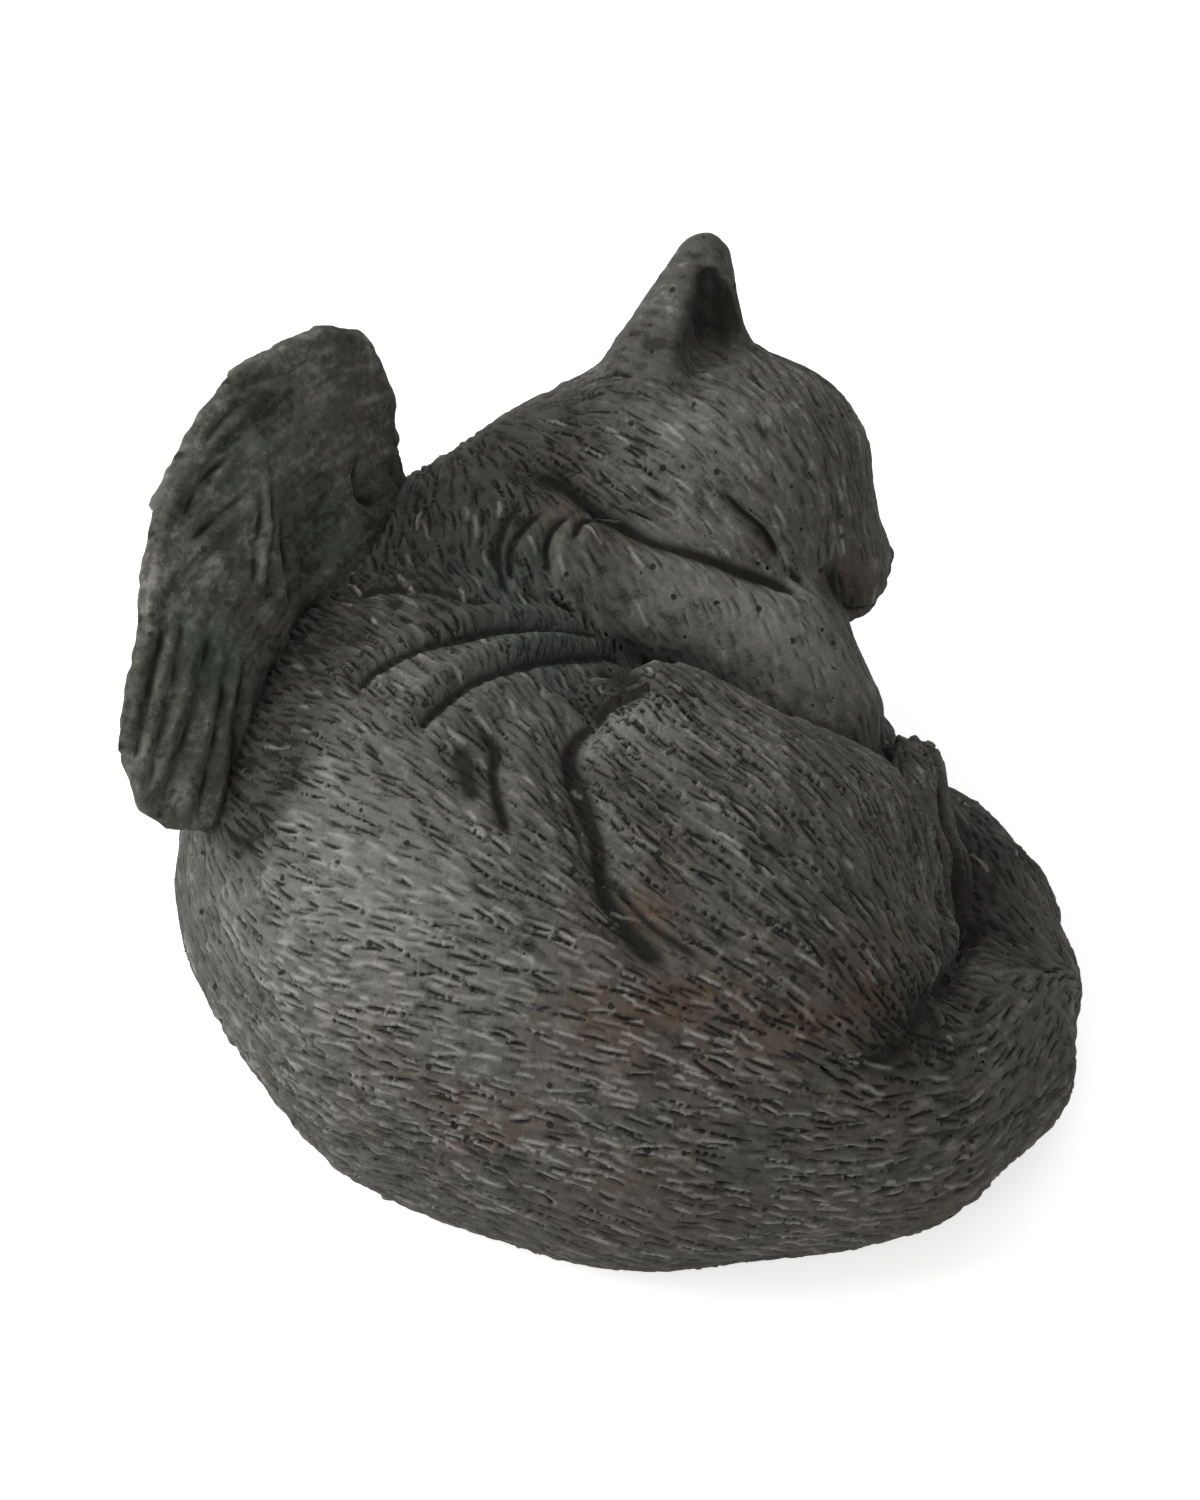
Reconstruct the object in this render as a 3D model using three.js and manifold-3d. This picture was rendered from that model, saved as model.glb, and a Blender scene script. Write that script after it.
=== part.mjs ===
// Garden statue of a sleeping cat with folded wings, cast in stone-grey concrete.
// The cat lies curled on its left side. Millimetres, +Z up, standing on z = 0.
// Each cast piece is a smooth distance field that is turned into a faceted solid,
// then cut by the pieces it lies against, so that a thin bond line stays between them.

import * as THREE from 'three';
import * as BufferGeometryUtils from 'three/addons/utils/BufferGeometryUtils.js';
import Module from 'manifold-3d';

const wasm = await Module();
wasm.setup();

// Driving sizes of the body
const rumpRadius = 58;
const loinRadius = 66;
const backRadius = 66;
const ribRadius = 60;
const shoulderRadius = 48;
const neckRadius = 32;
const chestRadius = 38;
const bellyRadius = 44;
const bodyBlend = 22;

// Driving sizes of the head
const skullLength = 76;
const skullWidth = 68;
const skullHeight = 67;
const muzzleLength = 33;
const muzzleWidth = 31;
const muzzleHeight = 28;
const cheekLength = 40;
const cheekWidth = 32;
const cheekHeight = 36;
const jawLength = 26;
const jawWidth = 24;
const jawHeight = 24;
const faceBlend = 14;
const headTurn = 14;
const headTilt = 48;

// Driving sizes of the ears
const earHeight = 35;
const earLength = 41;
const earWidth = 28;
const earTipWidth = 8;
const earTipRounding = 6;
const earSpread = 13;
const earSeat = 16;
const earHollowLength = 17.6;
const earHollowWidth = 25;
const earHollowHeight = 25;
const earHollowTaper = 34;
const earHollowAhead = 7.5;
const earHollowOut = 11;
const earRim = 5.5;

// Driving sizes of the legs and the tail
const forelegRadius = 21;
const wristRadius = 17;
const pawRadius = 14;
const thighRadius = 47;
const kneeRadius = 30;
const hockRadius = 15;
const hindFootRadius = 11;
const lowerFootRadius = 18;
const tailRootRadius = 28.5;
const tailMiddleRadius = 22;
const tailTipRadius = 13;
const legBlend = 14;
const haunchBlend = 20;
const footBlend = 6;

// Driving sizes of the wings
const wingThickness = 17;
const wingTipThickness = 13;
const wristRise = 61;
const wingMiddleRise = 46;
const wingTipRise = 26;
const leftWristRise = 57;
const leftWingRise = 32;
const leftTipRise = 12;
const wingSeat = 12;
const covertStep = 3.5;
const covertEnd = 0.52;
const covertLobes = 2;
const covertLobeLength = 0.03;
const primaries = 4;
const primaryRidge = 1.2;

// Bond line between cast pieces, and the steel dowels that cross it
const bondLine = 0.3;
const dowelRadius = 3;
const dowelLength = 34;
const neckDowelRadius = 4;
const neckDowelLength = 40;
const tailDowelLength = 22;
const dowelClearance = 0.3;
const dowelEndClearance = 0.5;

// Facet sizes
const bodyCell = 14;
const limbCell = 9.5;
const smallCell = 6;
const earCell = 3.6;
const wingLengthSteps = 24;
const wingRiseSteps = 8;
const sliver = 0.02;

const point = (x, y, z) => new THREE.Vector3(x, y, z);
const station = (x, y, z, radius) => ({ at: point(x, y, z), radius });

// Smooth minimum of two distances
function soften(a, b, width) {
  const h = Math.max(width - Math.abs(a - b), 0) / width;
  return Math.min(a, b) - (h * h * width) / 4;
}

// Chain of tapered rods with round ends, each melting into the next
function limb(stations, width) {
  const box = new THREE.Box3();
  for (const { at, radius } of stations) {
    box.union(new THREE.Box3().setFromCenterAndSize(at, point(2 * radius, 2 * radius, 2 * radius)));
  }
  const axis = new THREE.Vector3();
  const offset = new THREE.Vector3();
  const distance = (p) => {
    let nearest = Infinity;
    for (let i = 1; i < stations.length; i++) {
      const from = stations[i - 1];
      const to = stations[i];
      axis.subVectors(to.at, from.at);
      offset.subVectors(p, from.at);
      const along = THREE.MathUtils.clamp(offset.dot(axis) / axis.lengthSq(), 0, 1);
      const radius = THREE.MathUtils.lerp(from.radius, to.radius, along);
      const rod = offset.addScaledVector(axis, -along).length() - radius;
      nearest = nearest === Infinity ? rod : soften(nearest, rod, width);
    }
    return nearest;
  };
  return { distance, box };
}

// Ellipsoid whose half lengths lie along the three axes of a frame
function ellipsoid(centre, frame, halves) {
  const reach = 2 * Math.max(halves.x, halves.y, halves.z);
  const box = new THREE.Box3().setFromCenterAndSize(centre, point(reach, reach, reach));
  const offset = new THREE.Vector3();
  const scaled = new THREE.Vector3();
  const distance = (p) => {
    offset.subVectors(p, centre);
    scaled.set(offset.dot(frame.forward), offset.dot(frame.side), offset.dot(frame.up));
    const near = scaled.divide(halves).length();
    const steep = scaled.divide(halves).length();
    return (near * (near - 1)) / Math.max(steep, 1e-9);
  };
  return { distance, box };
}

// Several shapes melted into one
function melt(width, ...shapes) {
  const box = new THREE.Box3();
  shapes.forEach((shape) => box.union(shape.box));
  const distance = (p) => shapes.map((shape) => shape.distance(p)).reduce((a, b) => soften(a, b, width));
  return { distance, box };
}

// Direction in which a field grows fastest
function slopeOf(shape, p) {
  const step = 0.2;
  const slope = new THREE.Vector3();
  for (const axis of ['x', 'y', 'z']) {
    const ahead = p.clone();
    const behind = p.clone();
    ahead[axis] += step;
    behind[axis] -= step;
    slope[axis] = (shape.distance(ahead) - shape.distance(behind)) / (2 * step);
  }
  return slope;
}

// Where a line from inside a shape comes out through its skin
function skinPoint(shape, from, direction) {
  const p = from.clone();
  const way = direction.clone().normalize();
  for (let i = 0; i < 60; i++) {
    p.addScaledVector(way, -0.8 * shape.distance(p));
  }
  return p;
}

// Faceted skin of a field: one corner in each grid cell that the skin crosses
function skinOf(shape, cell) {
  const margin = 2 * cell;
  const low = shape.box.min.clone().subScalar(margin);
  const count = shape.box.max.clone().addScalar(margin).sub(low).divideScalar(cell).ceil().addScalar(1);
  const indexOf = (i, j, k) => i + count.x * (j + count.y * k);
  const cornerAt = (i, j, k) => point(i, j, k).multiplyScalar(cell).add(low);
  const values = new Float64Array(count.x * count.y * count.z);
  for (let k = 0; k < count.z; k++) {
    for (let j = 0; j < count.y; j++) {
      for (let i = 0; i < count.x; i++) values[indexOf(i, j, k)] = shape.distance(cornerAt(i, j, k));
    }
  }
  const steps = [[1, 0, 0], [0, 1, 0], [0, 0, 1]];
  const cellVertex = new Map();
  const positions = [];
  for (let k = 0; k < count.z - 1; k++) {
    for (let j = 0; j < count.y - 1; j++) {
      for (let i = 0; i < count.x - 1; i++) {
        const crossing = meanCrossing(i, j, k);
        if (!crossing) continue;
        for (let n = 0; n < 4; n++) {
          const slope = slopeOf(shape, crossing);
          crossing.addScaledVector(slope, -shape.distance(crossing) / slope.lengthSq());
        }
        cellVertex.set(indexOf(i, j, k), positions.length / 3);
        positions.push(crossing.x, crossing.y, crossing.z);
      }
    }
  }

  function meanCrossing(i, j, k) {
    const sum = point(0, 0, 0);
    let crossings = 0;
    for (let axis = 0; axis < 3; axis++) {
      const [di, dj, dk] = steps[axis];
      for (const a of [0, 1]) {
        for (const b of [0, 1]) {
          const start = [i, j, k];
          start[(axis + 1) % 3] += a;
          start[(axis + 2) % 3] += b;
          const [si, sj, sk] = start;
          const from = values[indexOf(si, sj, sk)];
          const to = values[indexOf(si + di, sj + dj, sk + dk)];
          if (from < 0 === to < 0) continue;
          sum.add(cornerAt(si, sj, sk).lerp(cornerAt(si + di, sj + dj, sk + dk), from / (from - to)));
          crossings++;
        }
      }
    }
    return crossings ? sum.divideScalar(crossings) : null;
  }

  const triangles = [];
  const corner = (index) => point(...positions.slice(3 * index, 3 * index + 3));
  for (let k = 1; k < count.z - 1; k++) {
    for (let j = 1; j < count.y - 1; j++) {
      for (let i = 1; i < count.x - 1; i++) {
        for (let axis = 0; axis < 3; axis++) {
          const [di, dj, dk] = steps[axis];
          const inside = values[indexOf(i, j, k)] < 0;
          if (inside === values[indexOf(i + di, j + dj, k + dk)] < 0) continue;
          const [u, v] = [steps[(axis + 1) % 3], steps[(axis + 2) % 3]];
          const around = [[1, 1], [0, 1], [0, 0], [1, 0]].map(([a, b]) =>
            cellVertex.get(indexOf(i - a * u[0] - b * v[0], j - a * u[1] - b * v[1], k - a * u[2] - b * v[2])));
          const [p, q, r, s] = inside ? around : around.reverse();
          if (corner(p).distanceTo(corner(r)) < corner(q).distanceTo(corner(s))) {
            triangles.push(p, q, r, p, r, s);
          } else {
            triangles.push(p, q, s, q, r, s);
          }
        }
      }
    }
  }
  const geometry = new THREE.BufferGeometry();
  geometry.setAttribute('position', new THREE.Float32BufferAttribute(positions, 3));
  geometry.setIndex(triangles);
  return geometry;
}

// The same skin moved outward, for the bond line
function grown(geometry, distance) {
  const copy = geometry.clone();
  copy.computeVertexNormals();
  const places = copy.getAttribute('position');
  const normals = copy.getAttribute('normal');
  for (let i = 0; i < places.count; i++) {
    const p = new THREE.Vector3().fromBufferAttribute(places, i);
    p.addScaledVector(new THREE.Vector3().fromBufferAttribute(normals, i), distance);
    places.setXYZ(i, p.x, p.y, p.z);
  }
  return copy;
}

// Geometry with merged corners as a solid for joining and cutting
function solid(geometry) {
  const plain = geometry.clone();
  plain.deleteAttribute('normal');
  plain.deleteAttribute('uv');
  const merged = BufferGeometryUtils.mergeVertices(plain, 1e-4);
  return new wasm.Manifold(new wasm.Mesh({
    numProp: 3,
    vertProperties: new Float32Array(merged.getAttribute('position').array),
    triVerts: new Uint32Array(merged.getIndex().array),
  }));
}

// Largest body of a solid as a geometry, without its slivers
function bodyGeometry(manifold) {
  const bodies = manifold.decompose().sort((a, b) => b.volume() - a.volume());
  const mesh = bodies[0].simplify(sliver).getMesh();
  const geometry = new THREE.BufferGeometry();
  geometry.setAttribute('position', new THREE.BufferAttribute(new Float32Array(mesh.vertProperties), 3));
  geometry.setIndex(new THREE.BufferAttribute(new Uint32Array(mesh.triVerts), 1));
  return geometry;
}

// Closed loft through rings that all have the same number of points, ended by two caps
function loft(rings, capTriangles) {
  const size = rings[0].length;
  const positions = rings.flat().flatMap((p) => [p.x, p.y, p.z]);
  const triangles = [];
  for (let r = 1; r < rings.length; r++) {
    for (let i = 0; i < size; i++) {
      const next = (i + 1) % size;
      const [a, b] = [(r - 1) * size + i, (r - 1) * size + next];
      const [c, d] = [r * size + next, r * size + i];
      triangles.push(c, b, a, d, c, a);
    }
  }
  const last = (rings.length - 1) * size;
  for (const [a, b, c] of capTriangles) {
    triangles.push(a, b, c);
    triangles.push(last + c, last + b, last + a);
  }
  const geometry = new THREE.BufferGeometry();
  geometry.setAttribute('position', new THREE.Float32BufferAttribute(positions, 3));
  geometry.setIndex(triangles);
  return geometry;
}

// Cap of a ring whose two halves run side by side, as strips between them
function stripCap(size) {
  const triangles = [];
  for (let i = 0; i < size / 2 - 1; i++) {
    const [a, b] = [i, i + 1];
    const [c, d] = [size - 2 - i, size - 1 - i];
    triangles.push([a, b, c], [a, c, d]);
  }
  return triangles;
}

// Body: the curled spine from rump to shoulder, with the neck, chest and belly
const spine = {
  hip: station(50, -96, 38, rumpRadius - 5),
  rump: station(10, -93, 42, rumpRadius),
  loin: station(-26, -74, 50, loinRadius),
  back: station(-47, -42, 53, backRadius),
  ribs: station(-51, 3, 56, ribRadius),
  shoulder: station(-42, 40, 64, shoulderRadius),
};
const neck = {
  root: station(-38, 44, 78, shoulderRadius - 10),
  middle: station(-14, 60, 94, neckRadius),
  nape: station(14, 68, 111, neckRadius + 2),
};
const chest = [
  station(-30, 44, 52, shoulderRadius - 2),
  station(14, 56, 44, chestRadius),
  station(42, 54, 40, chestRadius - 8),
];
const belly = [station(-10, -10, 40, bellyRadius), station(44, 4, 32, bellyRadius - 8)];
const torso = melt(
  bodyBlend,
  limb(Object.values(spine), bodyBlend),
  limb(Object.values(neck), bodyBlend),
  limb(chest, bodyBlend),
  limb(belly, bodyBlend),
);

// Head: it lies on its left cheek with the nose to +X, turned down a little
const turn = THREE.MathUtils.degToRad(headTurn);
const tilt = THREE.MathUtils.degToRad(headTilt);
const level = point(1, 0, 0);
const crown = point(0, Math.cos(tilt), Math.sin(tilt));
const headFrame = {
  forward: level.clone().multiplyScalar(Math.cos(turn)).addScaledVector(crown, -Math.sin(turn)),
  up: level.clone().multiplyScalar(Math.sin(turn)).addScaledVector(crown, Math.cos(turn)),
  side: point(0, -Math.sin(tilt), Math.cos(tilt)),
};
const headCentre = point(47, 64, 115);
const inHead = (forward, side, up) => headCentre.clone()
  .addScaledVector(headFrame.forward, forward)
  .addScaledVector(headFrame.side, side)
  .addScaledVector(headFrame.up, up);
const halves = (length, width, height) => point(length / 2, width / 2, height / 2);
const skull = ellipsoid(inHead(-5, 0, -0.5), headFrame, halves(skullLength, skullWidth, skullHeight));
const muzzle = ellipsoid(inHead(27, 0, -18), headFrame, halves(muzzleLength, muzzleWidth, muzzleHeight));
const cheeks = [1, -1].map((side) =>
  ellipsoid(inHead(6, 15 * side, -14), headFrame, halves(cheekLength, cheekWidth, cheekHeight)));
const jaw = ellipsoid(inHead(27, 0, -28), headFrame, halves(jawLength, jawWidth, jawHeight));
const head = melt(faceBlend, skull, muzzle, ...cheeks, jaw);

// Forelegs: the right one under the chin, the left one on the ground below it
const forelegRight = limb([
  station(-40, 38, 92, forelegRadius + 4),
  station(-12, 31, 98, forelegRadius),
  station(23, 29, 94, forelegRadius - 1),
  station(50, 20, 84, wristRadius + 2),
  station(63, 6, 68, wristRadius - 1),
  station(66, -2, 52, pawRadius),
], legBlend);
const forelegLeft = limb([
  station(-6, 66, 32, forelegRadius + 7),
  station(46, 68, 22, forelegRadius + 2),
  station(77, 52, 15, pawRadius + 2),
], legBlend);

// Hind legs: thigh, shin and foot of the right one, shin and foot of the left one below
const haunchRight = limb([
  station(14, -44, 92, kneeRadius),
  station(31, -68, 77, thighRadius - 4),
  station(39, -88, 60, thighRadius),
  station(60, -52, 68, hockRadius + 11),
  station(80, -66, 48, hockRadius),
], haunchBlend);
const hindFootRight = limb([
  station(92, -74, 36, hindFootRadius),
  station(93, -38, 48, hindFootRadius),
  station(90, -4, 56, hindFootRadius - 1),
], footBlend);
const hindLegLeft = limb([
  station(40, -50, 26, lowerFootRadius + 12),
  station(78, -48, 22, lowerFootRadius + 2),
  station(86, -8, 22, lowerFootRadius - 1),
  station(84, 12, 22, lowerFootRadius - 4),
], legBlend);

// Tail: from the rump round the hind feet to the left forepaw
const tailStations = {
  root: station(44, -104, 32, tailRootRadius + 8.5),
  rootEnd: station(80, -107, 28, tailRootRadius),
  bend: station(102, -86, 24, tailMiddleRadius + 3.5),
  middle: station(111, -57, 21, tailMiddleRadius),
  end: station(111, -26, 20, tailMiddleRadius - 3),
  tipRoot: station(103, 0, 17, tailTipRadius + 3),
  tip: station(93, 26, 15, tailTipRadius),
};
const tail = limb(Object.values(tailStations), legBlend);

// Ear: a blunt cone on the skull, whose hollow faces the nose and its own side
function ear(side) {
  const { lerp, clamp } = THREE.MathUtils;
  const rise = headFrame.up.clone().addScaledVector(headFrame.forward, -0.04);
  rise.addScaledVector(headFrame.side, 0.1 * side).normalize();
  const outward = headFrame.side.clone().multiplyScalar(side);
  outward.addScaledVector(rise, -outward.dot(rise)).normalize();
  const forward = headFrame.forward.clone();
  forward.addScaledVector(rise, -forward.dot(rise)).addScaledVector(outward, -forward.dot(outward)).normalize();
  const foot = inHead(-29.5, earSpread * side, 26);
  const offset = new THREE.Vector3();
  const cutBy = (shape, cutter, width) => -soften(-shape, cutter, width);
  const distance = (p) => {
    offset.subVectors(p, foot);
    const [ahead, out, height] = [offset.dot(forward), offset.dot(outward), offset.dot(rise)];
    const share = clamp(height / earHeight, 0, 1);
    const narrowing = Math.sqrt(clamp(1 - (Math.min(height, 0) / earSeat) ** 2, 0.04, 1));
    const halfLength = (lerp(earLength, earTipWidth, share) / 2) * narrowing;
    const halfWidth = (lerp(earWidth, earTipWidth, share) / 2) * narrowing;
    const cone = (Math.hypot(ahead / halfLength, out / halfWidth) - 1) * halfWidth;
    const blunt = cutBy(cone, earHeight - height, earTipRounding);
    const taper = clamp(1 - height / earHollowTaper, 0.1, 1.1);
    const hollowAhead = (ahead / taper - earHollowAhead) / (earHollowLength / 2);
    const hollowOut = (out / taper - earHollowOut) / (earHollowWidth / 2);
    const cup = (Math.hypot(hollowAhead, hollowOut) - 1) * (earHollowLength / 2) * taper;
    const hollow = cutBy(cup, earHollowHeight - height, earTipRounding);
    return Math.max(cutBy(blunt, hollow, earRim), -earSeat - height);
  };
  const reach = 2 * (earHeight + earSeat);
  const box = new THREE.Box3().setFromCenterAndSize(foot, point(reach, reach, reach));
  return { distance, box };
}

// Wings: each row stands on the skin of the back, where a line from the spine leaves it.
// The spine's shoulder, ribs and back are at 0, 1 and 2 along it.
const wingRow = (along, way, rise, height) => ({ along, way: point(...way), rise: point(...rise), height });
const rightWing = [
  wingRow(0, [-0.4, 0.5, 0.78], [0.02, 0.02, 1], wristRise),
  wingRow(0.5, [-0.38, 0.2, 0.9], [-0.5, 0, 0.86], wristRise - 2),
  wingRow(1, [-0.52, -0.08, 0.85], [-0.66, 0, 0.75], wingMiddleRise),
  wingRow(1.5, [-0.66, -0.14, 0.74], [-0.74, -0.15, 0.65], wingMiddleRise - 12),
  wingRow(2, [-0.8, -0.34, 0.54], [-0.8, -0.35, 0.48], wingTipRise),
];
const leftWing = [
  wingRow(0, [-0.62, 0.72, 0.3], [-0.1, 0.12, 0.98], leftWristRise),
  wingRow(0.4, [-0.76, 0.5, 0.4], [-0.2, 0.1, 0.97], leftWristRise - 8),
  wingRow(0.9, [-0.88, 0.2, 0.42], [-0.25, 0.05, 0.96], leftWingRise),
  wingRow(1.35, [-0.92, 0, 0.4], [-0.4, 0, 0.9], leftWingRise - 10),
  wingRow(1.7, [-0.95, -0.12, 0.3], [-0.6, -0.2, 0.77], leftTipRise),
];

function alongSpine(share) {
  const { shoulder, ribs, back } = spine;
  return share < 1 ? shoulder.at.clone().lerp(ribs.at, share) : ribs.at.clone().lerp(back.at, share - 1);
}

function wingCurves(rows) {
  const feet = rows.map(({ along, way }) => skinPoint(torso, alongSpine(along), way));
  const crests = rows.map(({ rise, height }, i) =>
    feet[i].clone().addScaledVector(rise.clone().normalize(), height));
  return { footCurve: new THREE.CatmullRomCurve3(feet), crestCurve: new THREE.CatmullRomCurve3(crests) };
}

// Feather relief of a blade: the coverts end in round lobes over the long primaries
function featherRelief(along, up) {
  const edge = covertEnd + covertLobeLength * Math.cos(2 * Math.PI * covertLobes * up);
  const primary = THREE.MathUtils.smoothstep(along, edge - covertLobeLength, edge + covertLobeLength);
  const ridge = primaryRidge * Math.abs(Math.sin(Math.PI * primaries * up));
  return THREE.MathUtils.lerp(covertStep, ridge, primary);
}

// Thick blade between the two curves, its foot sunk into the back and its edges rounded
function wingGeometry(rows) {
  const { footCurve, crestCurve } = wingCurves(rows);
  const roundedSteps = 3;
  const rings = [];
  for (let step = 0; step <= wingLengthSteps; step++) {
    const along = step / wingLengthSteps;
    const foot = footCurve.getPoint(along);
    const crest = crestCurve.getPoint(along);
    const rise = crest.clone().sub(foot).normalize();
    const inward = new THREE.Vector3().crossVectors(rise, footCurve.getTangent(along)).normalize();
    const toEnd = Math.min(step, wingLengthSteps - step, roundedSteps) / roundedSteps;
    const rounding = 0.25 + 0.75 * Math.sqrt(1 - (1 - toEnd) ** 2);
    const thickness = THREE.MathUtils.lerp(wingThickness, wingTipThickness, along) * rounding;
    const bottom = foot.clone().addScaledVector(rise, -wingSeat);
    const inner = [];
    const outer = [];
    for (let row = 0; row <= wingRiseSteps; row++) {
      const up = row / wingRiseSteps;
      const middle = bottom.clone().lerp(crest, up * Math.sqrt(rounding));
      const half = (thickness / 2) * Math.sqrt(1 - 0.8 * up ** 4);
      const relief = featherRelief(along, up) * rounding * (1 - up ** 6);
      inner.push(middle.clone().addScaledVector(inward, half + relief));
      outer.push(middle.clone().addScaledVector(inward, -half));
    }
    rings.push([...outer, ...inner.reverse()]);
  }
  return loft(rings, stripCap(rings[0].length));
}

// Round bar with its middle at a point
function barGeometry(middle, direction, radius, length) {
  const bar = new THREE.CylinderGeometry(radius, radius, length, 16, 1);
  bar.applyQuaternion(new THREE.Quaternion().setFromUnitVectors(point(0, 1, 0), direction.clone().normalize()));
  bar.translate(middle.x, middle.y, middle.z);
  return bar;
}

// Everything above the ground
function aboveGround() {
  const size = 1000;
  const block = new THREE.BoxGeometry(size, size, size);
  block.translate(0, 0, size / 2);
  return solid(block);
}

// Cast pieces in the order in which they keep their room; each later one is cut by the earlier ones
const castings = [
  { name: 'head', skin: skinOf(head, limbCell), colour: 0x55585a },
  { name: 'foreleg_right', skin: skinOf(forelegRight, limbCell), colour: 0x55585a },
  { name: 'foreleg_left', skin: skinOf(forelegLeft, limbCell), colour: 0x515456 },
  { name: 'haunch_right', skin: skinOf(haunchRight, limbCell), colour: 0x55585a },
  { name: 'hind_foot_right', skin: skinOf(hindFootRight, smallCell), colour: 0x585b5c },
  { name: 'hind_leg_left', skin: skinOf(hindLegLeft, limbCell), colour: 0x515456 },
  { name: 'torso', skin: skinOf(torso, bodyCell), colour: 0x54575a },
  { name: 'tail', skin: skinOf(tail, limbCell), colour: 0x515456 },
  { name: 'ear_right', skin: skinOf(ear(1), earCell), colour: 0x5a5d5e },
  { name: 'ear_left', skin: skinOf(ear(-1), earCell), colour: 0x5a5d5e },
  { name: 'wing_right', skin: wingGeometry(rightWing), colour: 0x5a5f5c },
  { name: 'wing_left', skin: wingGeometry(leftWing), colour: 0x5a5f5c },
];
const pieces = {};
const ground = aboveGround();
let taken = null;
for (const { name, skin } of castings) {
  const piece = solid(skin).intersect(ground);
  pieces[name] = taken ? piece.subtract(taken) : piece;
  const room = solid(grown(skin, bondLine));
  taken = taken ? taken.add(room) : room;
}

// Where a dowel crosses the foot of a wing
function wingJoint(rows, along) {
  const { footCurve, crestCurve } = wingCurves(rows);
  const middle = footCurve.getPoint(along);
  const direction = crestCurve.getPoint(along).sub(middle);
  return { middle, direction, radius: dowelRadius, length: dowelLength };
}

// Where a dowel crosses the skin of a shape on the way from one point to another
function skinJoint(shape, from, to, radius, length) {
  const direction = to.clone().sub(from);
  return { middle: skinPoint(shape, from, direction), direction, radius, length };
}

// Steel dowels, each in a blind hole in both pieces that it joins
const tailAim = tailStations.rootEnd.at.clone().lerp(tailStations.bend.at, 0.5);
const tailFoot = point(spine.hip.at.x, spine.hip.at.y, tailAim.z);
const dowels = [
  { name: 'wing_dowel_right_front', joins: ['torso', 'wing_right'], ...wingJoint(rightWing, 0.4) },
  { name: 'wing_dowel_right_rear', joins: ['torso', 'wing_right'], ...wingJoint(rightWing, 0.7) },
  { name: 'wing_dowel_left_front', joins: ['torso', 'wing_left'], ...wingJoint(leftWing, 0.3) },
  { name: 'wing_dowel_left_rear', joins: ['torso', 'wing_left'], ...wingJoint(leftWing, 0.6) },
  {
    name: 'neck_dowel',
    joins: ['torso', 'head'],
    ...skinJoint(head, headCentre, neck.middle.at, neckDowelRadius, neckDowelLength),
  },
  {
    name: 'tail_dowel',
    joins: ['torso', 'tail'],
    ...skinJoint(torso, tailFoot, tailAim, dowelRadius, tailDowelLength),
  },
];
for (const { joins, middle, direction, radius, length } of dowels) {
  const holeLength = length + 2 * dowelEndClearance;
  const hole = solid(barGeometry(middle, direction, radius + dowelClearance, holeLength));
  for (const name of joins) pieces[name] = pieces[name].subtract(hole);
}

const stone = (colour) => new THREE.MeshStandardMaterial({ color: colour, roughness: 0.95, metalness: 0 });
const steel = () => new THREE.MeshStandardMaterial({ color: 0x9a9c9e, roughness: 0.4, metalness: 1 });
const statue = new THREE.Group();

function addMesh(name, geometry, material) {
  const mesh = new THREE.Mesh(geometry, material);
  mesh.name = name;
  statue.add(mesh);
}

castings.forEach(({ name, colour }) => addMesh(name, bodyGeometry(pieces[name]), stone(colour)));
for (const { name, middle, direction, radius, length } of dowels) {
  addMesh(name, barGeometry(middle, direction, radius, length), steel());
}

// The statue stands with the middle of its outline over the origin
const outlineMiddle = new THREE.Box3().setFromObject(statue).getCenter(new THREE.Vector3());
statue.position.set(-outlineMiddle.x, -outlineMiddle.y, 0);

export default statue;
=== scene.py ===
import math

import bpy
import numpy as np
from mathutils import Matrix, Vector


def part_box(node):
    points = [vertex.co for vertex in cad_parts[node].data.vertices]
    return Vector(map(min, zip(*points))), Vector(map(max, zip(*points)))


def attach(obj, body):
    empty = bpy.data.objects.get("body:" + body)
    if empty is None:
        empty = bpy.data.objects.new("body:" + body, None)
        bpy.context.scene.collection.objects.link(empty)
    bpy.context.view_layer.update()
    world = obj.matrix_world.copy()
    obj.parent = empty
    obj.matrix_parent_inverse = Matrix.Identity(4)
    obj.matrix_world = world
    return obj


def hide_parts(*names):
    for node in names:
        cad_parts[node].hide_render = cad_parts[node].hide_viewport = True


# A garden statue of a curled-up sleeping cat with folded wings, in dark cast stone.
# The casting is sculpted as one skin from smooth fields, carved with its folds, face and
# fur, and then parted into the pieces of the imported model. Sizes are in mm, meshes in metres.

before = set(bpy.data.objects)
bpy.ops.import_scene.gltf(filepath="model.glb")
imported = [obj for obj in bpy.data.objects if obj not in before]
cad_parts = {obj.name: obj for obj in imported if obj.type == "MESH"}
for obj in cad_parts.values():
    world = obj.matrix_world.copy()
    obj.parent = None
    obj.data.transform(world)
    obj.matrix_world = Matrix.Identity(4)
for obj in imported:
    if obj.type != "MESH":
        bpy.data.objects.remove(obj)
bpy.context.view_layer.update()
mm = 0.001


# Fields: distances that are negative inside the stone

def soften(a, b, width):
    near = np.maximum(width - np.abs(a - b), 0) / width
    return np.minimum(a, b) - near * near * width / 4


def unit(vector):
    vector = np.asarray(vector, float)
    return vector / np.maximum(np.linalg.norm(vector, axis=-1, keepdims=True), 1e-12)


def smoothStep(low, high, value):
    t = np.clip((value - low) / (high - low), 0, 1)
    return t * t * (3 - 2 * t)


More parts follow.
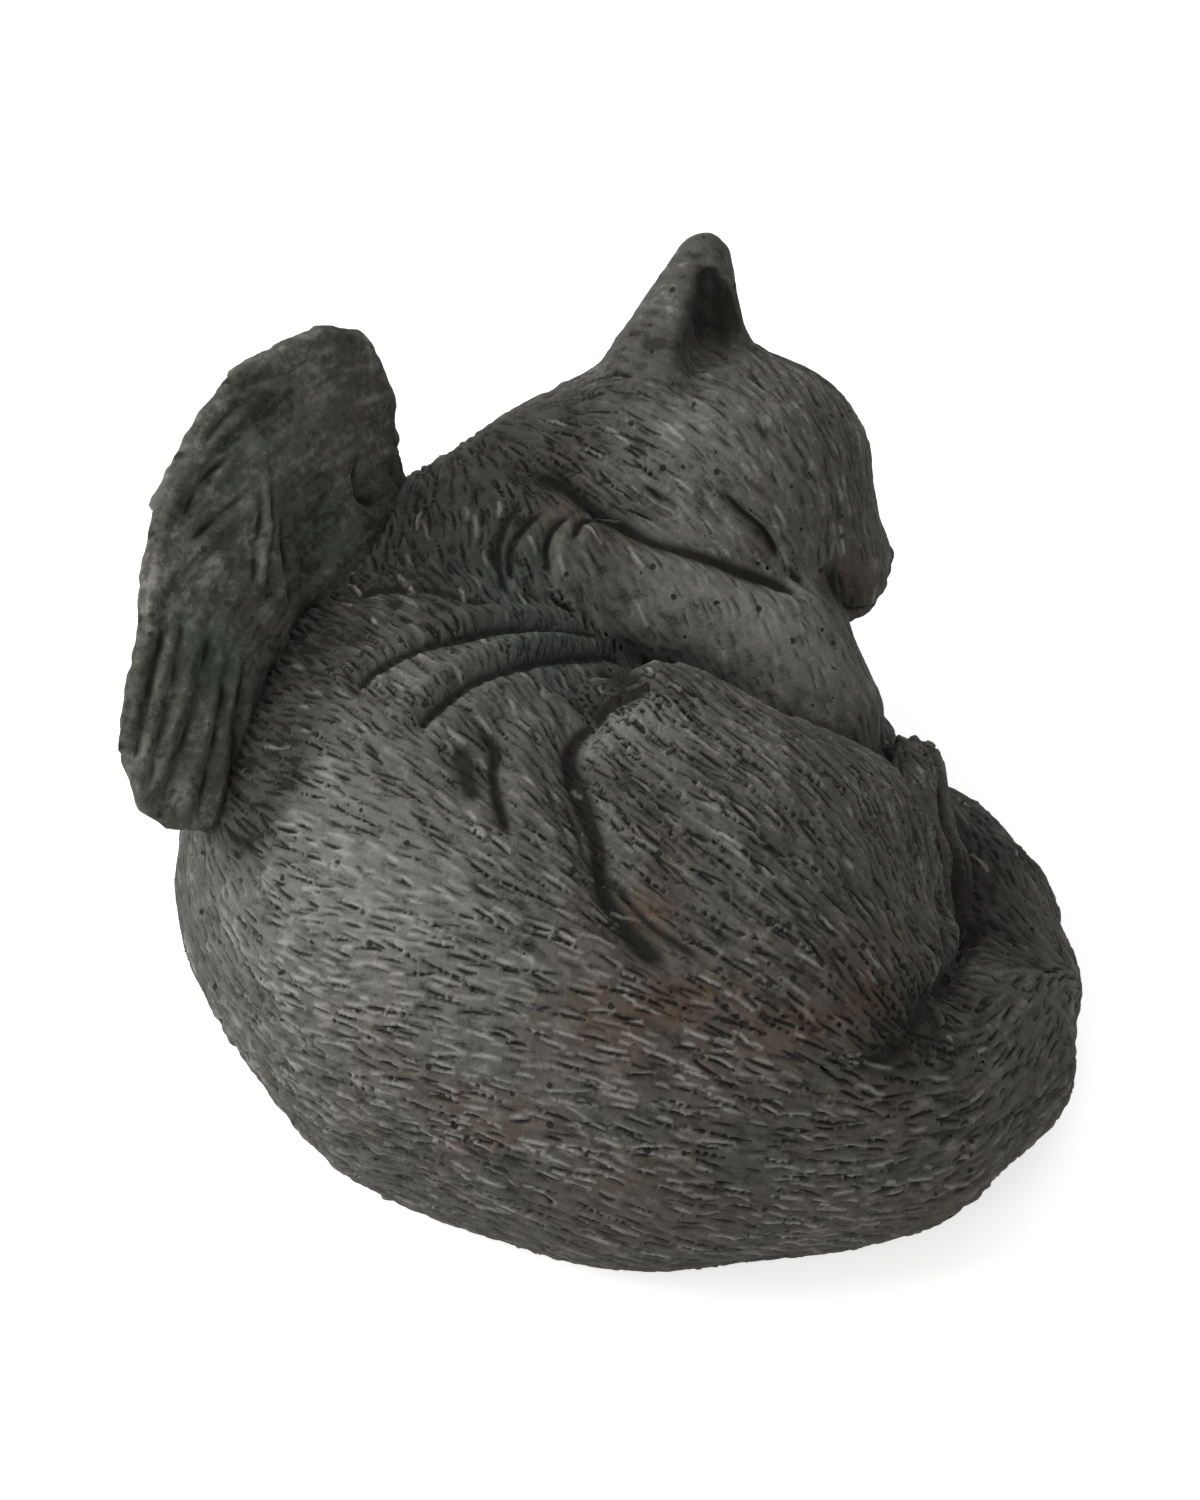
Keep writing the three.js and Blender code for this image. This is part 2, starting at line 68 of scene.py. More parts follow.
def chainField(p, stations, blend):
    field = None
    for start, end in zip(stations[:-1], stations[1:]):
        start, end = np.array(start, float), np.array(end, float)
        axis = end[:3] - start[:3]
        offset = p - start[:3]
        along = np.clip(offset @ axis / (axis @ axis), 0, 1)
        offset = offset - along[:, None] * axis
        rod = np.sqrt(np.einsum("ij,ij->i", offset, offset)) - (start[3] + (end[3] - start[3]) * along)
        field = rod if field is None else soften(field, rod, blend)
    return field


def ellipsoidField(p, centre, axes, halves):
    q = (p - centre) @ np.array(axes).T / np.array(halves, float)
    near = np.sqrt(np.einsum("ij,ij->i", q, q))
    q = q / np.array(halves, float)
    steep = np.sqrt(np.einsum("ij,ij->i", q, q))
    return near * (near - 1) / np.maximum(steep, 1e-9)


# Chains of round stations (x, y, z, radius), in the sculptor's own frame
bodyForm = {
    "blend": 22,
    "spine": [(50, -96, 38, 53), (10, -93, 42, 58), (-26, -74, 50, 66), (-47, -42, 53, 66), (-51, 3, 56, 60),
              (-42, 40, 64, 48)],
    "neck": [(-38, 44, 78, 38), (-14, 60, 94, 32), (14, 68, 111, 34)],
    "chest": [(-30, 44, 52, 46), (14, 56, 44, 38), (42, 54, 40, 30)],
    "belly": [(-10, -10, 40, 44), (44, 4, 32, 36)],
}
headForm = {
    "turn": 14,
    "tilt": 48,
    "centre": (47, 64, 115),
    "blend": 14,
    "lumps": [  # place and half lengths: forward along the nose, across to the right, up to the crown
        ((-5, 0, -0.5), (38, 34, 33.5)),
        ((27, 0, -18), (16.5, 15.5, 14)),
        ((6, 15, -14), (20, 16, 18)),
        ((6, -15, -14), (20, 16, 18)),
        ((27, 0, -28), (13, 12, 12)),
    ],
}
limbForms = {
    "foreleg_right": (14, [(-40, 38, 92, 25), (-12, 31, 98, 21), (23, 29, 94, 20), (50, 20, 84, 19),
                           (63, 6, 68, 16), (66, -2, 52, 14)]),
    "foreleg_left": (14, [(-6, 66, 32, 28), (46, 68, 22, 23), (77, 52, 15, 16)]),
    "haunch_right": (20, [(14, -44, 92, 30), (31, -68, 77, 43), (39, -88, 60, 47), (60, -52, 68, 26),
                          (80, -66, 48, 15)]),
    "hind_foot_right": (6, [(92, -74, 36, 11), (93, -38, 48, 11), (90, -4, 56, 10)]),
    "hind_leg_left": (14, [(40, -50, 26, 30), (78, -48, 22, 20), (86, -8, 22, 17), (84, 12, 22, 14)]),
    "tail": (14, [(44, -104, 32, 37), (80, -107, 28, 28.5), (102, -86, 24, 25.5), (111, -57, 21, 22),
                  (111, -26, 20, 19), (103, 0, 17, 16), (93, 26, 15, 13)]),
}
earForm = {
    "foot": (-29.5, 13, 26),  # on the head: forward, across and up
    "lean": (0.04, 0.1),  # backward and outward, for each mm up
    "height": 35,
    "base": (20.5, 14),  # half lengths forward and across
    "tip": (5, 4.5),
    "tipRounding": 6,
    "seat": 16,
    "scoop": (7.5, 11),  # how far the hollow lies towards the nose and the outer side
    "scoopSize": (8.8, 12.5),
    "scoopTaper": 34,
    "scoopHeight": 25,
    "rim": 5.5,
}
# How softly each piece runs into what was there before, and the places where it runs in more softly
joins = [
    ("tail", 16, []),
    ("hind_leg_left", 5, []),
    ("haunch_right", 4, [((45, -114, 66), 40, 24), ((2, -80, 118), 24, 20)]),
    ("hind_foot_right", 3, []),
    ("foreleg_left", 8, []),
    ("foreleg_right", 4, [((-40, 38, 104), 26, 20)]),
    ("head", 4, [((8, 92, 128), 34, 22), ((28, 24, 114), 30, 11)]),
    ("ear_right", 8, [((2, 92, 142), 14, 15)]),
    ("ear_left", 8, []),
]
pieceNames = ["torso"] + [name for name, _, _ in joins]
groundRounding = 3.0  # of the edge round the flat underside

headTurn, headTilt = math.radians(headForm["turn"]), math.radians(headForm["tilt"])
level = np.array((1.0, 0.0, 0.0))
crown = np.array((0.0, math.cos(headTilt), math.sin(headTilt)))
headAxes = np.array([
    level * math.cos(headTurn) - crown * math.sin(headTurn),
    (0.0, -math.sin(headTilt), math.cos(headTilt)),
    level * math.sin(headTurn) + crown * math.cos(headTurn),
])
headCentre = np.array(headForm["centre"], float)


def inHead(p):
    return np.asarray(p, float) @ headAxes + headCentre


def headField(p):
    field = None
    for place, halves in headForm["lumps"]:
        lump = ellipsoidField(p, inHead(place), headAxes, halves)
        field = lump if field is None else soften(field, lump, headForm["blend"])
    return field


def torsoField(p):
    field = None
    for part in ("spine", "neck", "chest", "belly"):
        rods = chainField(p, bodyForm[part], bodyForm["blend"])
        field = rods if field is None else soften(field, rods, bodyForm["blend"])
    return field


def earField(p, side):
    form = earForm
    back, out = form["lean"]
    rise = unit(headAxes[2] - back * headAxes[0] + out * side * headAxes[1])
    outward = unit(headAxes[1] * side - rise * (headAxes[1] @ rise) * side)
    forward = unit(headAxes[0] - rise * (headAxes[0] @ rise) - outward * (headAxes[0] @ outward))
    forwardFoot, acrossFoot, upFoot = form["foot"]
    q = (p - inHead((forwardFoot, acrossFoot * side, upFoot))) @ np.array([forward, outward, rise]).T
    height = q[:, 2]
    share = np.clip(height / form["height"], 0, 1)
    # round below the foot
    narrow = np.sqrt(np.clip(1 - (np.minimum(height, 0) / form["seat"]) ** 2, 0.04, 1))
    halves = (np.array(form["base"]) + share[:, None] * (np.array(form["tip"]) - form["base"])) * narrow[:, None]
    near = q[:, :2] / halves
    cone = (np.sqrt(np.einsum("ij,ij->i", near, near)) - 1) * halves[:, 1]
    cone = -soften(-cone, form["height"] - height, form["tipRounding"])
    taper = np.clip(1 - height / form["scoopTaper"], 0.1, 1.1)
    near = (q[:, :2] / taper[:, None] - form["scoop"]) / form["scoopSize"]
    scoop = (np.sqrt(np.einsum("ij,ij->i", near, near)) - 1) * form["scoopSize"][0] * taper
    scoop = -soften(-scoop, form["scoopHeight"] - height, form["tipRounding"])
    cone = -soften(-cone, scoop, form["rim"])
    return np.maximum(cone, -form["seat"] - height)


def pieceField(name, p):
    if name == "torso":
        return torsoField(p)
    if name == "head":
        return headField(p)
    if name.startswith("ear"):
        return earField(p, 1 if name == "ear_right" else -1)
    blend, stations = limbForms[name]
    return chainField(p, stations, blend)


def skinField(p, fields=None):
    fields = fields or {name: pieceField(name, p) for name in pieceNames}
    skin = fields["torso"]
    for name, width, spots in joins:
        for place, reach, soft in spots:
            away = p - np.array(place, float)
            width = width + (soft - width) * np.exp(-np.einsum("ij,ij->i", away, away) / reach**2)
        skin = soften(skin, fields[name], width)
    return -soften(-skin, p[:, 2], groundRounding)  # cut flat at the ground


def slopeOf(p, step=0.3):
    corners = np.array([(1, 1, 1), (1, -1, -1), (-1, 1, -1), (-1, -1, 1)], float)
    slope = np.zeros_like(p)
    for corner in corners:
        slope += skinField(p + corner * step)[:, None] * corner
    return slope / (4 * step)


def ontoSkin(p, rounds=1, flattest=0.05, longest=2.5):
    for _ in range(rounds):
        slope = slopeOf(p)
        steep = np.maximum(np.einsum("ij,ij->i", slope, slope), flattest)
        step = -(skinField(p) / steep)[:, None] * slope
        length = np.linalg.norm(step, axis=1, keepdims=True)
        p = p + step * np.minimum(1, longest / np.maximum(length, 1e-9))
    p[:, 2] = np.maximum(p[:, 2], 0)
    return p


# Curves through points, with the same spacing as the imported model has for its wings

def curveThrough(points, shares):
    points = np.asarray(points, float)
    points = np.vstack([2 * points[0] - points[1], points, 2 * points[-1] - points[-2]])
    place = np.clip(np.asarray(shares, float), 0, 1) * (len(points) - 3)
    start = np.minimum(place.astype(int), len(points) - 4)
    t = (place - start)[:, None]
    a, b, c, d = (points[start + k] for k in range(4))
    gaps = [np.sqrt(np.linalg.norm(q - p, axis=1, keepdims=True)) for p, q in ((a, b), (b, c), (c, d))]
    ahead = ((b - a) / gaps[0] - (c - a) / (gaps[0] + gaps[1]) + (c - b) / gaps[1]) * gaps[1]
    after = ((c - b) / gaps[1] - (d - b) / (gaps[1] + gaps[2]) + (d - c) / gaps[2]) * gaps[1]
    return b + ahead * t + (3 * (c - b) - 2 * ahead - after) * t**2 + (2 * (b - c) + ahead + after) * t**3


def skinPoint(field, start, way, rounds=60, stride=0.8):
    p = np.array([start], float)
    way = unit(way)
    for _ in range(rounds):
        p = p - stride * field(p)[:, None] * way
    return p[0]


# Wings: each row stands on the back, where a line from the spine leaves it.
# The spine's shoulder, ribs and back are at 0, 1 and 2 along it.
wingForms = {
    "wing_right": [  # along the spine, way out to the foot, way up the blade, height
        (0, (-0.4, 0.5, 0.78), (0.02, 0.02, 1), 61),
        (0.5, (-0.38, 0.2, 0.9), (-0.5, 0, 0.86), 59),
        (1, (-0.52, -0.08, 0.85), (-0.66, 0, 0.75), 46),
        (1.5, (-0.66, -0.14, 0.74), (-0.74, -0.15, 0.65), 34),
        (2, (-0.8, -0.34, 0.54), (-0.8, -0.35, 0.48), 26),
    ],
    "wing_left": [
        (0, (-0.62, 0.72, 0.3), (-0.1, 0.12, 0.98), 57),
        (0.4, (-0.76, 0.5, 0.4), (-0.2, 0.1, 0.97), 49),
        (0.9, (-0.88, 0.2, 0.42), (-0.25, 0.05, 0.96), 32),
        (1.35, (-0.92, 0, 0.4), (-0.4, 0, 0.9), 22),
        (1.7, (-0.95, -0.12, 0.3), (-0.6, -0.2, 0.77), 12),
    ],
}


def wingEdges(rows):
    shoulder, ribs, back = (np.array(bodyForm["spine"][k][:3], float) for k in (5, 4, 3))
    feet = []
    for along, way, _, _ in rows:
        start = shoulder + (ribs - shoulder) * along if along < 1 else ribs + (back - ribs) * (along - 1)
        feet.append(skinPoint(torsoField, start, way))
    crests = [foot + unit(rise) * height for foot, (_, _, rise, height) in zip(feet, rows)]
    return np.array(feet), np.array(crests)


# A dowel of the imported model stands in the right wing's foot, and gives the way between the two frames
dowelLow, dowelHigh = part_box("wing_dowel_right_front")
dowelFoot = curveThrough(wingEdges(wingForms["wing_right"])[0], [0.4])[0]
origin = (np.array(dowelLow) + np.array(dowelHigh)) / 2 / mm - dowelFoot
origin[2] = 0
print("sculptor's frame found at", np.round(origin, 3))


# Camera

lens = {
    "target": (0.0, -10.0, 70.0),
    "distance": 800.0,
    "elevation": 42.0,
    "focal": 67.2,
    "sensor": 36.0,
    "picture": (1200, 1500),  # pixels across and down
    "searchFrom": 560.0,  # where a way through a pixel starts to look for the skin
    "searchRounds": 80,
    "touch": 0.02,
}
lensTilt = math.radians(lens["elevation"])
lensAhead = np.array((0.0, math.cos(lensTilt), -math.sin(lensTilt)))
lensUp = np.array((0.0, math.sin(lensTilt), math.cos(lensTilt)))
lensPlace = np.array(lens["target"]) - lens["distance"] * lensAhead
lensPixels = lens["focal"] / lens["sensor"] * lens["picture"][1]  # the sensor spans the picture's longer side
lensMiddle = np.array(lens["picture"]) / 2


def addObject(name, data):
    item = bpy.data.objects.new(name, data)
    bpy.context.scene.collection.objects.link(item)
    return item


def makeCamera():
    camera = addObject("photoCamera", bpy.data.cameras.new("photoCamera"))
    camera.location = (lensPlace + origin) * mm
    camera.rotation_mode = "QUATERNION"
    camera.rotation_quaternion = Vector(lensAhead).to_track_quat("-Z", "Y")
    camera.data.lens = lens["focal"]
    camera.data.sensor_width = lens["sensor"]
    camera.data.clip_start = 0.05
    camera.data.clip_end = 20.0
    bpy.context.scene.camera = camera


def waysThrough(pixels):
    pixels = np.asarray(pixels, float) - lensMiddle
    return unit(lensAhead * lensPixels + pixels[:, :1] * level - pixels[:, 1:2] * lensUp)


def seenOnSkin(pixels):
    ways = waysThrough(pixels)
    reach = np.full(len(ways), lens["searchFrom"])
    for _ in range(lens["searchRounds"]):
        gap = skinField(lensPlace + ways * reach[:, None])
        reach += np.where(gap > lens["touch"], np.maximum(gap, lens["touch"]) * 0.9, 0)
    return lensPlace + ways * reach[:, None]


makeCamera()
print("camera made")


# One skin round all the pieces: a net of quads between grid points that lie in different
# pieces or in the air. The walls between the pieces stay coarse, the skin is made finer.

skinNet = {
    "cell": 2.7,
    "low": (-128, -163),
    "cellsBelow": 1.5,  # how far the net starts below the ground
    "high": (145, 131, 183),
    "levels": 2,
    "rounds": 8,
    "keep": 0.45,  # of a point's place, and what its neighbours pull, in each round
    "pull": 0.55,
    "wallRounds": 4,
    "flat": 0.02,  # faces below this height lie on the ground and stay coarse
}
edgeKey = 10**7  # more than there are points
torsoCuts = {  # by y
    "torso_rump": (-1000, -98),
    "torso_loin": (-98, -62),
    "torso_flank": (-62, -20),
    "torso_ribs": (-20, 34),
    "torso_chest": (34, 1000),
}
partNames = list(torsoCuts) + pieceNames[1:]
partNodes = {name: "torso" if name in torsoCuts else name for name in partNames}


def labelledNet():
    cell = skinNet["cell"]
    low = np.array((*skinNet["low"], -skinNet["cellsBelow"] * cell))
    count = np.ceil((np.array(skinNet["high"]) - low) / cell).astype(int) + 1
    grid = np.stack(np.meshgrid(*[low[i] + cell * np.arange(count[i]) for i in range(3)], indexing="ij"), -1)
    p = grid.reshape(-1, 3)
    fields = {name: pieceField(name, p) for name in pieceNames}
    skin = skinField(p, fields)
    nearest = np.stack([fields[name] for name in pieceNames]).argmin(0)
    labels = nearest + len(torsoCuts)
    for n, (rear, front) in enumerate(torsoCuts.values()):
        labels[(nearest == 0) & (p[:, 1] >= rear) & (p[:, 1] < front)] = n + 1
    labels = np.where(skin < 0, labels, 0).reshape(count)
    skin = skin.reshape(count)
    cells = count - 1
    sums, hits = np.zeros((np.prod(cells), 3)), np.zeros(np.prod(cells))
    quads = []
    for axis in range(3):
        u, v = (axis + 1) % 3, (axis + 2) % 3
        first, second = [slice(None)] * 3, [slice(None)] * 3
        first[axis], second[axis] = slice(0, -1), slice(1, None)
        a, b = labels[tuple(first)], labels[tuple(second)]
        fieldA, fieldB = skin[tuple(first)], skin[tuple(second)]
        index = np.argwhere(a != b)
        index = index[np.all((index[:, [u, v]] > 0) & (index[:, [u, v]] < count[[u, v]] - 1), 1)]
        pick = tuple(index.T)
        a, b, fieldA, fieldB = a[pick], b[pick], fieldA[pick], fieldB[pick]
        toAir = (a == 0) | (b == 0)
        at = grid[tuple(first)][pick]
        at[:, axis] += cell * np.where(toAir, fieldA / np.where(fieldA == fieldB, 1, fieldA - fieldB), 0.5)
        weight = np.where(toAir, 1.0, 0.001)
        around = []
        for du, dv in ((1, 1), (0, 1), (0, 0), (1, 0)):
            beside = index.copy()
            beside[:, u] -= du
            beside[:, v] -= dv
            beside = np.ravel_multi_index(beside.T, cells)
            np.add.at(sums, beside, at * weight[:, None])
            np.add.at(hits, beside, weight)
            around.append(beside)
        quads.append((np.stack(around, 1), a, b))
    corners, inner, beyond = (np.concatenate([row[k] for row in quads]) for k in range(3))
    used, corners = np.unique(corners, return_inverse=True)
    return sums[used] / hits[used][:, None], corners.reshape(-1, 4), inner, beyond


def edgesOf(faces):
    ends = np.stack([faces, np.roll(faces, -1, 1)], -1).reshape(-1, 2)
    return np.sort(ends, 1)


def relaxSkin(places, faces, owners):
    ends = edgesOf(faces)
    keys, inverse = np.unique(ends[:, 0] * len(places) + ends[:, 1], return_inverse=True)
    low, high = np.full(len(keys), 10**6), np.zeros(len(keys), int)
    np.minimum.at(low, inverse, np.repeat(owners, 4))
    np.maximum.at(high, inverse, np.repeat(owners, 4))
    a, b = keys // len(places), keys % len(places)
    border = low != high
    degree = np.bincount(np.concatenate([a[border], b[border]]), minlength=len(places))
    inside = degree == 0
    moves = inside | (degree == 2)
    weightA = np.where(inside[a], 1.0, border * 1.0)
    weightB = np.where(inside[b], 1.0, border * 1.0)
    total = np.bincount(a, weightA, len(places)) + np.bincount(b, weightB, len(places))
    used = np.unique(faces)
    for _ in range(skinNet["rounds"]):
        mean = np.stack([np.bincount(a, weightA * places[b, k], len(places))
                         + np.bincount(b, weightB * places[a, k], len(places)) for k in range(3)], 1)
        mean = mean / np.maximum(total, 1)[:, None]
        mixed = places * skinNet["keep"] + mean * skinNet["pull"]
        places = np.where((moves & (total > 0))[:, None], mixed, places)
        places[used] = ontoSkin(places[used])
    return places


def relaxWalls(places, walls, fixed):
    ends = edgesOf(walls)
    free = np.setdiff1d(np.unique(walls), fixed)
    for _ in range(skinNet["wallRounds"]):
        mean = np.stack([np.bincount(ends[:, 0], places[ends[:, 1], k], len(places))
                         + np.bincount(ends[:, 1], places[ends[:, 0], k], len(places)) for k in range(3)], 1)
        total = np.bincount(ends.ravel(), minlength=len(places))
        places[free] = mean[free] / total[free][:, None]
    return places


def subdivide(places, faces):
    ends = edgesOf(faces)
    keys, inverse = np.unique(ends[:, 0] * edgeKey + ends[:, 1], return_inverse=True)
    middles = (places[keys // edgeKey] + places[keys % edgeKey]) / 2
    centres = places[faces].mean(1)
    mid = (len(places) + inverse).reshape(-1, 4)
    centre = len(places) + len(keys) + np.arange(len(faces))
    finer = np.stack([np.stack([faces[:, k], mid[:, k], centre, mid[:, k - 1]], 1) for k in range(4)], 1)
    halves = dict(zip(keys.tolist(), range(len(places), len(places) + len(keys))))
    added = ontoSkin(np.vstack([middles, centres]))
    return np.vstack([places, added]), finer.reshape(-1, 4), halves


def splitEdge(a, b, halves):
    if not halves:
        return [a]
    middle = halves[0].get(min(a, b) * edgeKey + max(a, b))
    if middle is None:
        return [a]
    return splitEdge(a, middle, halves[1:]) + splitEdge(middle, b, halves[1:])


def makeSkin():
    places, quads, inner, beyond = labelledNet()
    toAir = (inner == 0) | (beyond == 0)
    air, owners = quads[toAir].copy(), (inner + beyond)[toAir]
    turned = inner[toAir] == 0
    air[turned] = air[turned][:, ::-1]
    walls, sides = quads[~toAir], np.stack([inner, beyond], 1)[~toAir]
    places = relaxSkin(places, air, owners)
    places = relaxWalls(places, walls, np.unique(air))
    ground = places[air][:, :, 2].max(1) < skinNet["flat"]
    fine, fineOwners = air[~ground], owners[~ground]
    halves = []
    for _ in range(skinNet["levels"]):
        places, fine, split = subdivide(places, fine)
        fineOwners = np.repeat(fineOwners, 4)
        halves.append(split)
    coarse = [[] for _ in range(len(partNames) + 1)]

    def ringOf(corners):
        return sum((splitEdge(corners[k], corners[(k + 1) % 4], halves) for k in range(4)), [])

    for corners, owner in zip(air[ground].tolist(), owners[ground].tolist()):
        coarse[owner].append(ringOf(corners))
    for corners, (one, other) in zip(walls.tolist(), sides.tolist()):
        ring = ringOf(corners)
        coarse[one].append(ring)
        coarse[other].append(ring[::-1])
    return places, fine, fineOwners, coarse


skinPlaces, skinFaces, skinOwners, coarseFaces = makeSkin()
skinUsed = np.unique(skinFaces)
print("skin", len(skinUsed), "points,", len(skinFaces), "quads")
for n, name in enumerate(partNames):
    print("  ", name, int((skinOwners == n + 1).sum()) * 2 + sum(len(f) - 2 for f in coarseFaces[n + 1]))


places = skinPlaces[skinUsed]
normals = unit(slopeOf(places))
compact = np.zeros(len(skinPlaces), int)
compact[skinUsed] = np.arange(len(skinUsed))
compactFaces = compact[skinFaces]
owners = np.zeros(len(skinUsed), int)
owners[compactFaces] = skinOwners[:, None]
print("skin normals")


# Lines that the sculptor cut or raised. Each runs over the skin through pixels of the picture or
# through places on the head. Depth and width are of the groove, swell is the rise beside it on the
# left of the line's way, as one walks on the skin, other the rise on its right, reach how far off
# these are, and shade how strongly painted shade darkens the groove.

lineKeys = ("depth", "width", "swell", "other", "reach", "shade")
bodyLines = [  # the values of lineKeys, then pixels
    (1.5, 2.0, 1.2, 0.3, 6, 1, [(345, 600), (372, 590), (406, 588), (440, 592), (470, 600), (500, 604)]),
    (2.2, 2.2, 1.8, 0.5, 6.5, 1, [(350, 697), (368, 675), (381, 665), (404, 653), (427, 643), (452, 638),
                                  (480, 631), (503, 628), (534, 629), (560, 633), (600, 640)]),
    (2.6, 2.4, 2.3, 0.6, 6.5, 1, [(409, 735), (424, 718), (440, 703), (458, 688), (478, 677), (498, 670),
                                  (519, 663), (544, 658), (570, 656), (600, 656), (626, 661)]),
    (2.2, 2.2, 1.3, 1.0, 6, 1, [(480, 722), (488, 736), (496, 754), (493, 772), (496, 790), (503, 815), (509, 830),
                                (516, 841)]),
    (1.4, 4.5, 0.4, 0.4, 9, 1, [(455, 735), (462, 760), (470, 790), (478, 815)]),
    (2.8, 3.4, 1.8, 0.8, 9, 1, [(656, 680), (631, 693), (608, 705), (593, 723), (577, 736), (569, 754), (572, 777),
                                (581, 802), (590, 825), (598, 848), (600, 874), (605, 894), (618, 915), (633, 935),
                                (651, 953), (677, 968)]),
    (-1.2, 7, 0, 0, 9, 1, [(640, 700), (622, 712), (604, 730), (596, 752)]),
    (2.4, 1.4, 1.2, 0.4, 4.5, 1, [(553, 507), (537, 515), (521, 531), (512, 547), (510, 566), (513, 588)]),
    (1.8, 1.3, 0.9, 0.3, 4, 1, [(535, 500), (515, 510), (503, 530), (498, 552), (502, 580), (512, 600)]),
    (2.3, 1.3, 1.1, 0.4, 4.5, 1, [(579, 513), (559, 523), (550, 534), (545, 550), (548, 566), (553, 585)]),
    (1.5, 1.2, 0.6, 0.3, 3.5, 1, [(545, 590), (560, 605), (580, 615)]),
    (2.0, 1.3, 0.9, 0.3, 4, 1, [(604, 520), (585, 521), (575, 534), (571, 545)]),
    (1.1, 1.5, 0.6, 0.3, 4, 1, [(524, 588), (536, 598), (545, 606)]),
    (3.0, 2.4, 1.4, 0.8, 6, 1, [(523, 473), (540, 477), (566, 488), (585, 502), (604, 516), (630, 528), (655, 540),
                                (687, 550), (713, 559), (744, 572), (776, 582), (808, 595)]),
    (1.3, 3.6, 0.5, 0.5, 8, 0.45, [(700, 745), (725, 775), (752, 808), (782, 845), (806, 880)]),
    (1.2, 3.6, 0.5, 0.4, 8, 0.45, [(655, 762), (675, 797), (702, 832), (728, 870), (748, 905)]),
    (1.4, 3.4, 0.8, 0.4, 7, 0.7, [(935, 975), (925, 1000), (907, 1042), (872, 1063), (840, 1075)]),
    (3.2, 5.0, 0, 0, 9, 1, [(612, 668), (626, 676), (640, 684)]),
    (4.5, 3.6, 0.4, 1.8, 7, 1, [(944, 775), (953, 830), (962, 885), (966, 930), (955, 975), (935, 1000)]),
    (2.2, 1.6, 1.4, 0.4, 5, 1, [(902, 775), (920, 815), (932, 860), (938, 910), (940, 960)]),
    (3.0, 3.4, 0, 0, 6, 1, [(748, 338), (738, 318), (730, 298), (722, 280)]),
    (1.2, 1.3, 0.5, 0.3, 4, 1, [(560, 790), (575, 830), (590, 870)]),
    (1.3, 1.3, 0.6, 0.3, 4, 1, [(614, 870), (628, 900), (650, 925), (680, 945), (712, 965)]),
    (1.0, 1.2, 0.5, 0.3, 3.5, 1, [(543, 770), (552, 805), (566, 840), (584, 880)]),
]
faceLines = [  # then forward, across and up on the head; the other half of the face mirrors them
    (3.0, 1.3, 1.8, 0.6, 3.6, 1, [(-13, 31, -11), (-8, 33, -14), (-3, 33, -17), (3, 33, -20), (8, 30, -24),
                                  (12, 26, -29)]),
    (0.6, 2.4, 0.9, 0, 6, 1, [(-9, 34, -7), (-1, 35, -9), (6, 34, -12), (12, 32, -17)]),
    (1.4, 1.5, 0.3, 0.3, 4, 1, [(12, 28, -27), (16, 24, -31), (19, 20, -36)]),
    (1.0, 1.8, 0.7, 0.4, 4.5, 1, [(24, 18, -19), (27, 17, -27), (28, 15, -35), (27, 12, -42)]),
    (1.3, 1.0, 0.5, 0.5, 3, 1, [(43.5, 0, -27), (42, 3, -30), (38.7, 7, -33), (33, 11, -34), (27, 14, -32)]),
    (0.9, 0.9, 0.3, 0.3, 2.2, 1, [(45.5, 1.6, -22.8), (44.5, 4.2, -21.6), (42, 5.4, -19.6)]),
    (0.9, 0.9, 0.2, 0.2, 2, 1, [(46, 0, -23), (44.5, 0, -25.5), (43, 0, -28)]),
    (-0.8, 3.0, 0, 0, 4, 1, [(40, 0, -14.5), (43, 1.5, -15.6), (45, 2, -18)]),
    (-0.9, 5.0, 0, 0, 6, 1, [(38, 8, -24), (36, 10, -27)]),
    (0.6, 4.0, 0.2, 0.2, 7, 1, [(30, 12, -13), (22, 19, -12), (13, 26, -12)]),
]
toes = {"spread": 0.42, "arc": (15, 120), "depth": 1.0, "width": 1.2, "swell": 0.5, "other": 0.5, "reach": 2.6,
        "shade": 1}
paws = ["foreleg_right", "foreleg_left", "hind_foot_right", "hind_leg_left"]
# the last value is the groove depth from which the painted shade in a groove is full
grooves = {"fade": 8.0, "fadeShare": 0.35, "power": 1.3, "swellWidth": 0.6, "fullShadeDepth": 1.5}


def formOfLine(row):
    return dict(zip(lineKeys, row))


def resampled(line, step=1.5):
    line = np.asarray(line, float)
    length = np.linalg.norm(np.diff(line, axis=0), axis=1).sum()
    return curveThrough(line, np.linspace(0, 1, max(int(length / step), 3) + 1))


def besideLine(p, line, up, reach):
    near = np.flatnonzero(np.all((p > line.min(0) - reach) & (p < line.max(0) + reach), 1))
    q = p[near]
    nearest, side, along = np.full(len(near), 1e9), np.zeros(len(near)), np.zeros(len(near))
    gone = 0.0
    for start, end, top in zip(line[:-1], line[1:], up):
        way = end - start
        length = max(np.linalg.norm(way), 1e-6)
        t = np.clip((q - start) @ way / length**2, 0, 1)
        off = q - start - t[:, None] * way
        far = np.sqrt(np.einsum("ij,ij->i", off, off))
        closer = far < nearest
        nearest[closer] = far[closer]
        side[closer] = (off @ np.cross(top, way / length))[closer]
        along[closer] = (gone + t * length)[closer]
        gone += length
    keep = nearest < reach
    return near[keep], np.copysign(nearest, side)[keep], along[keep], gone


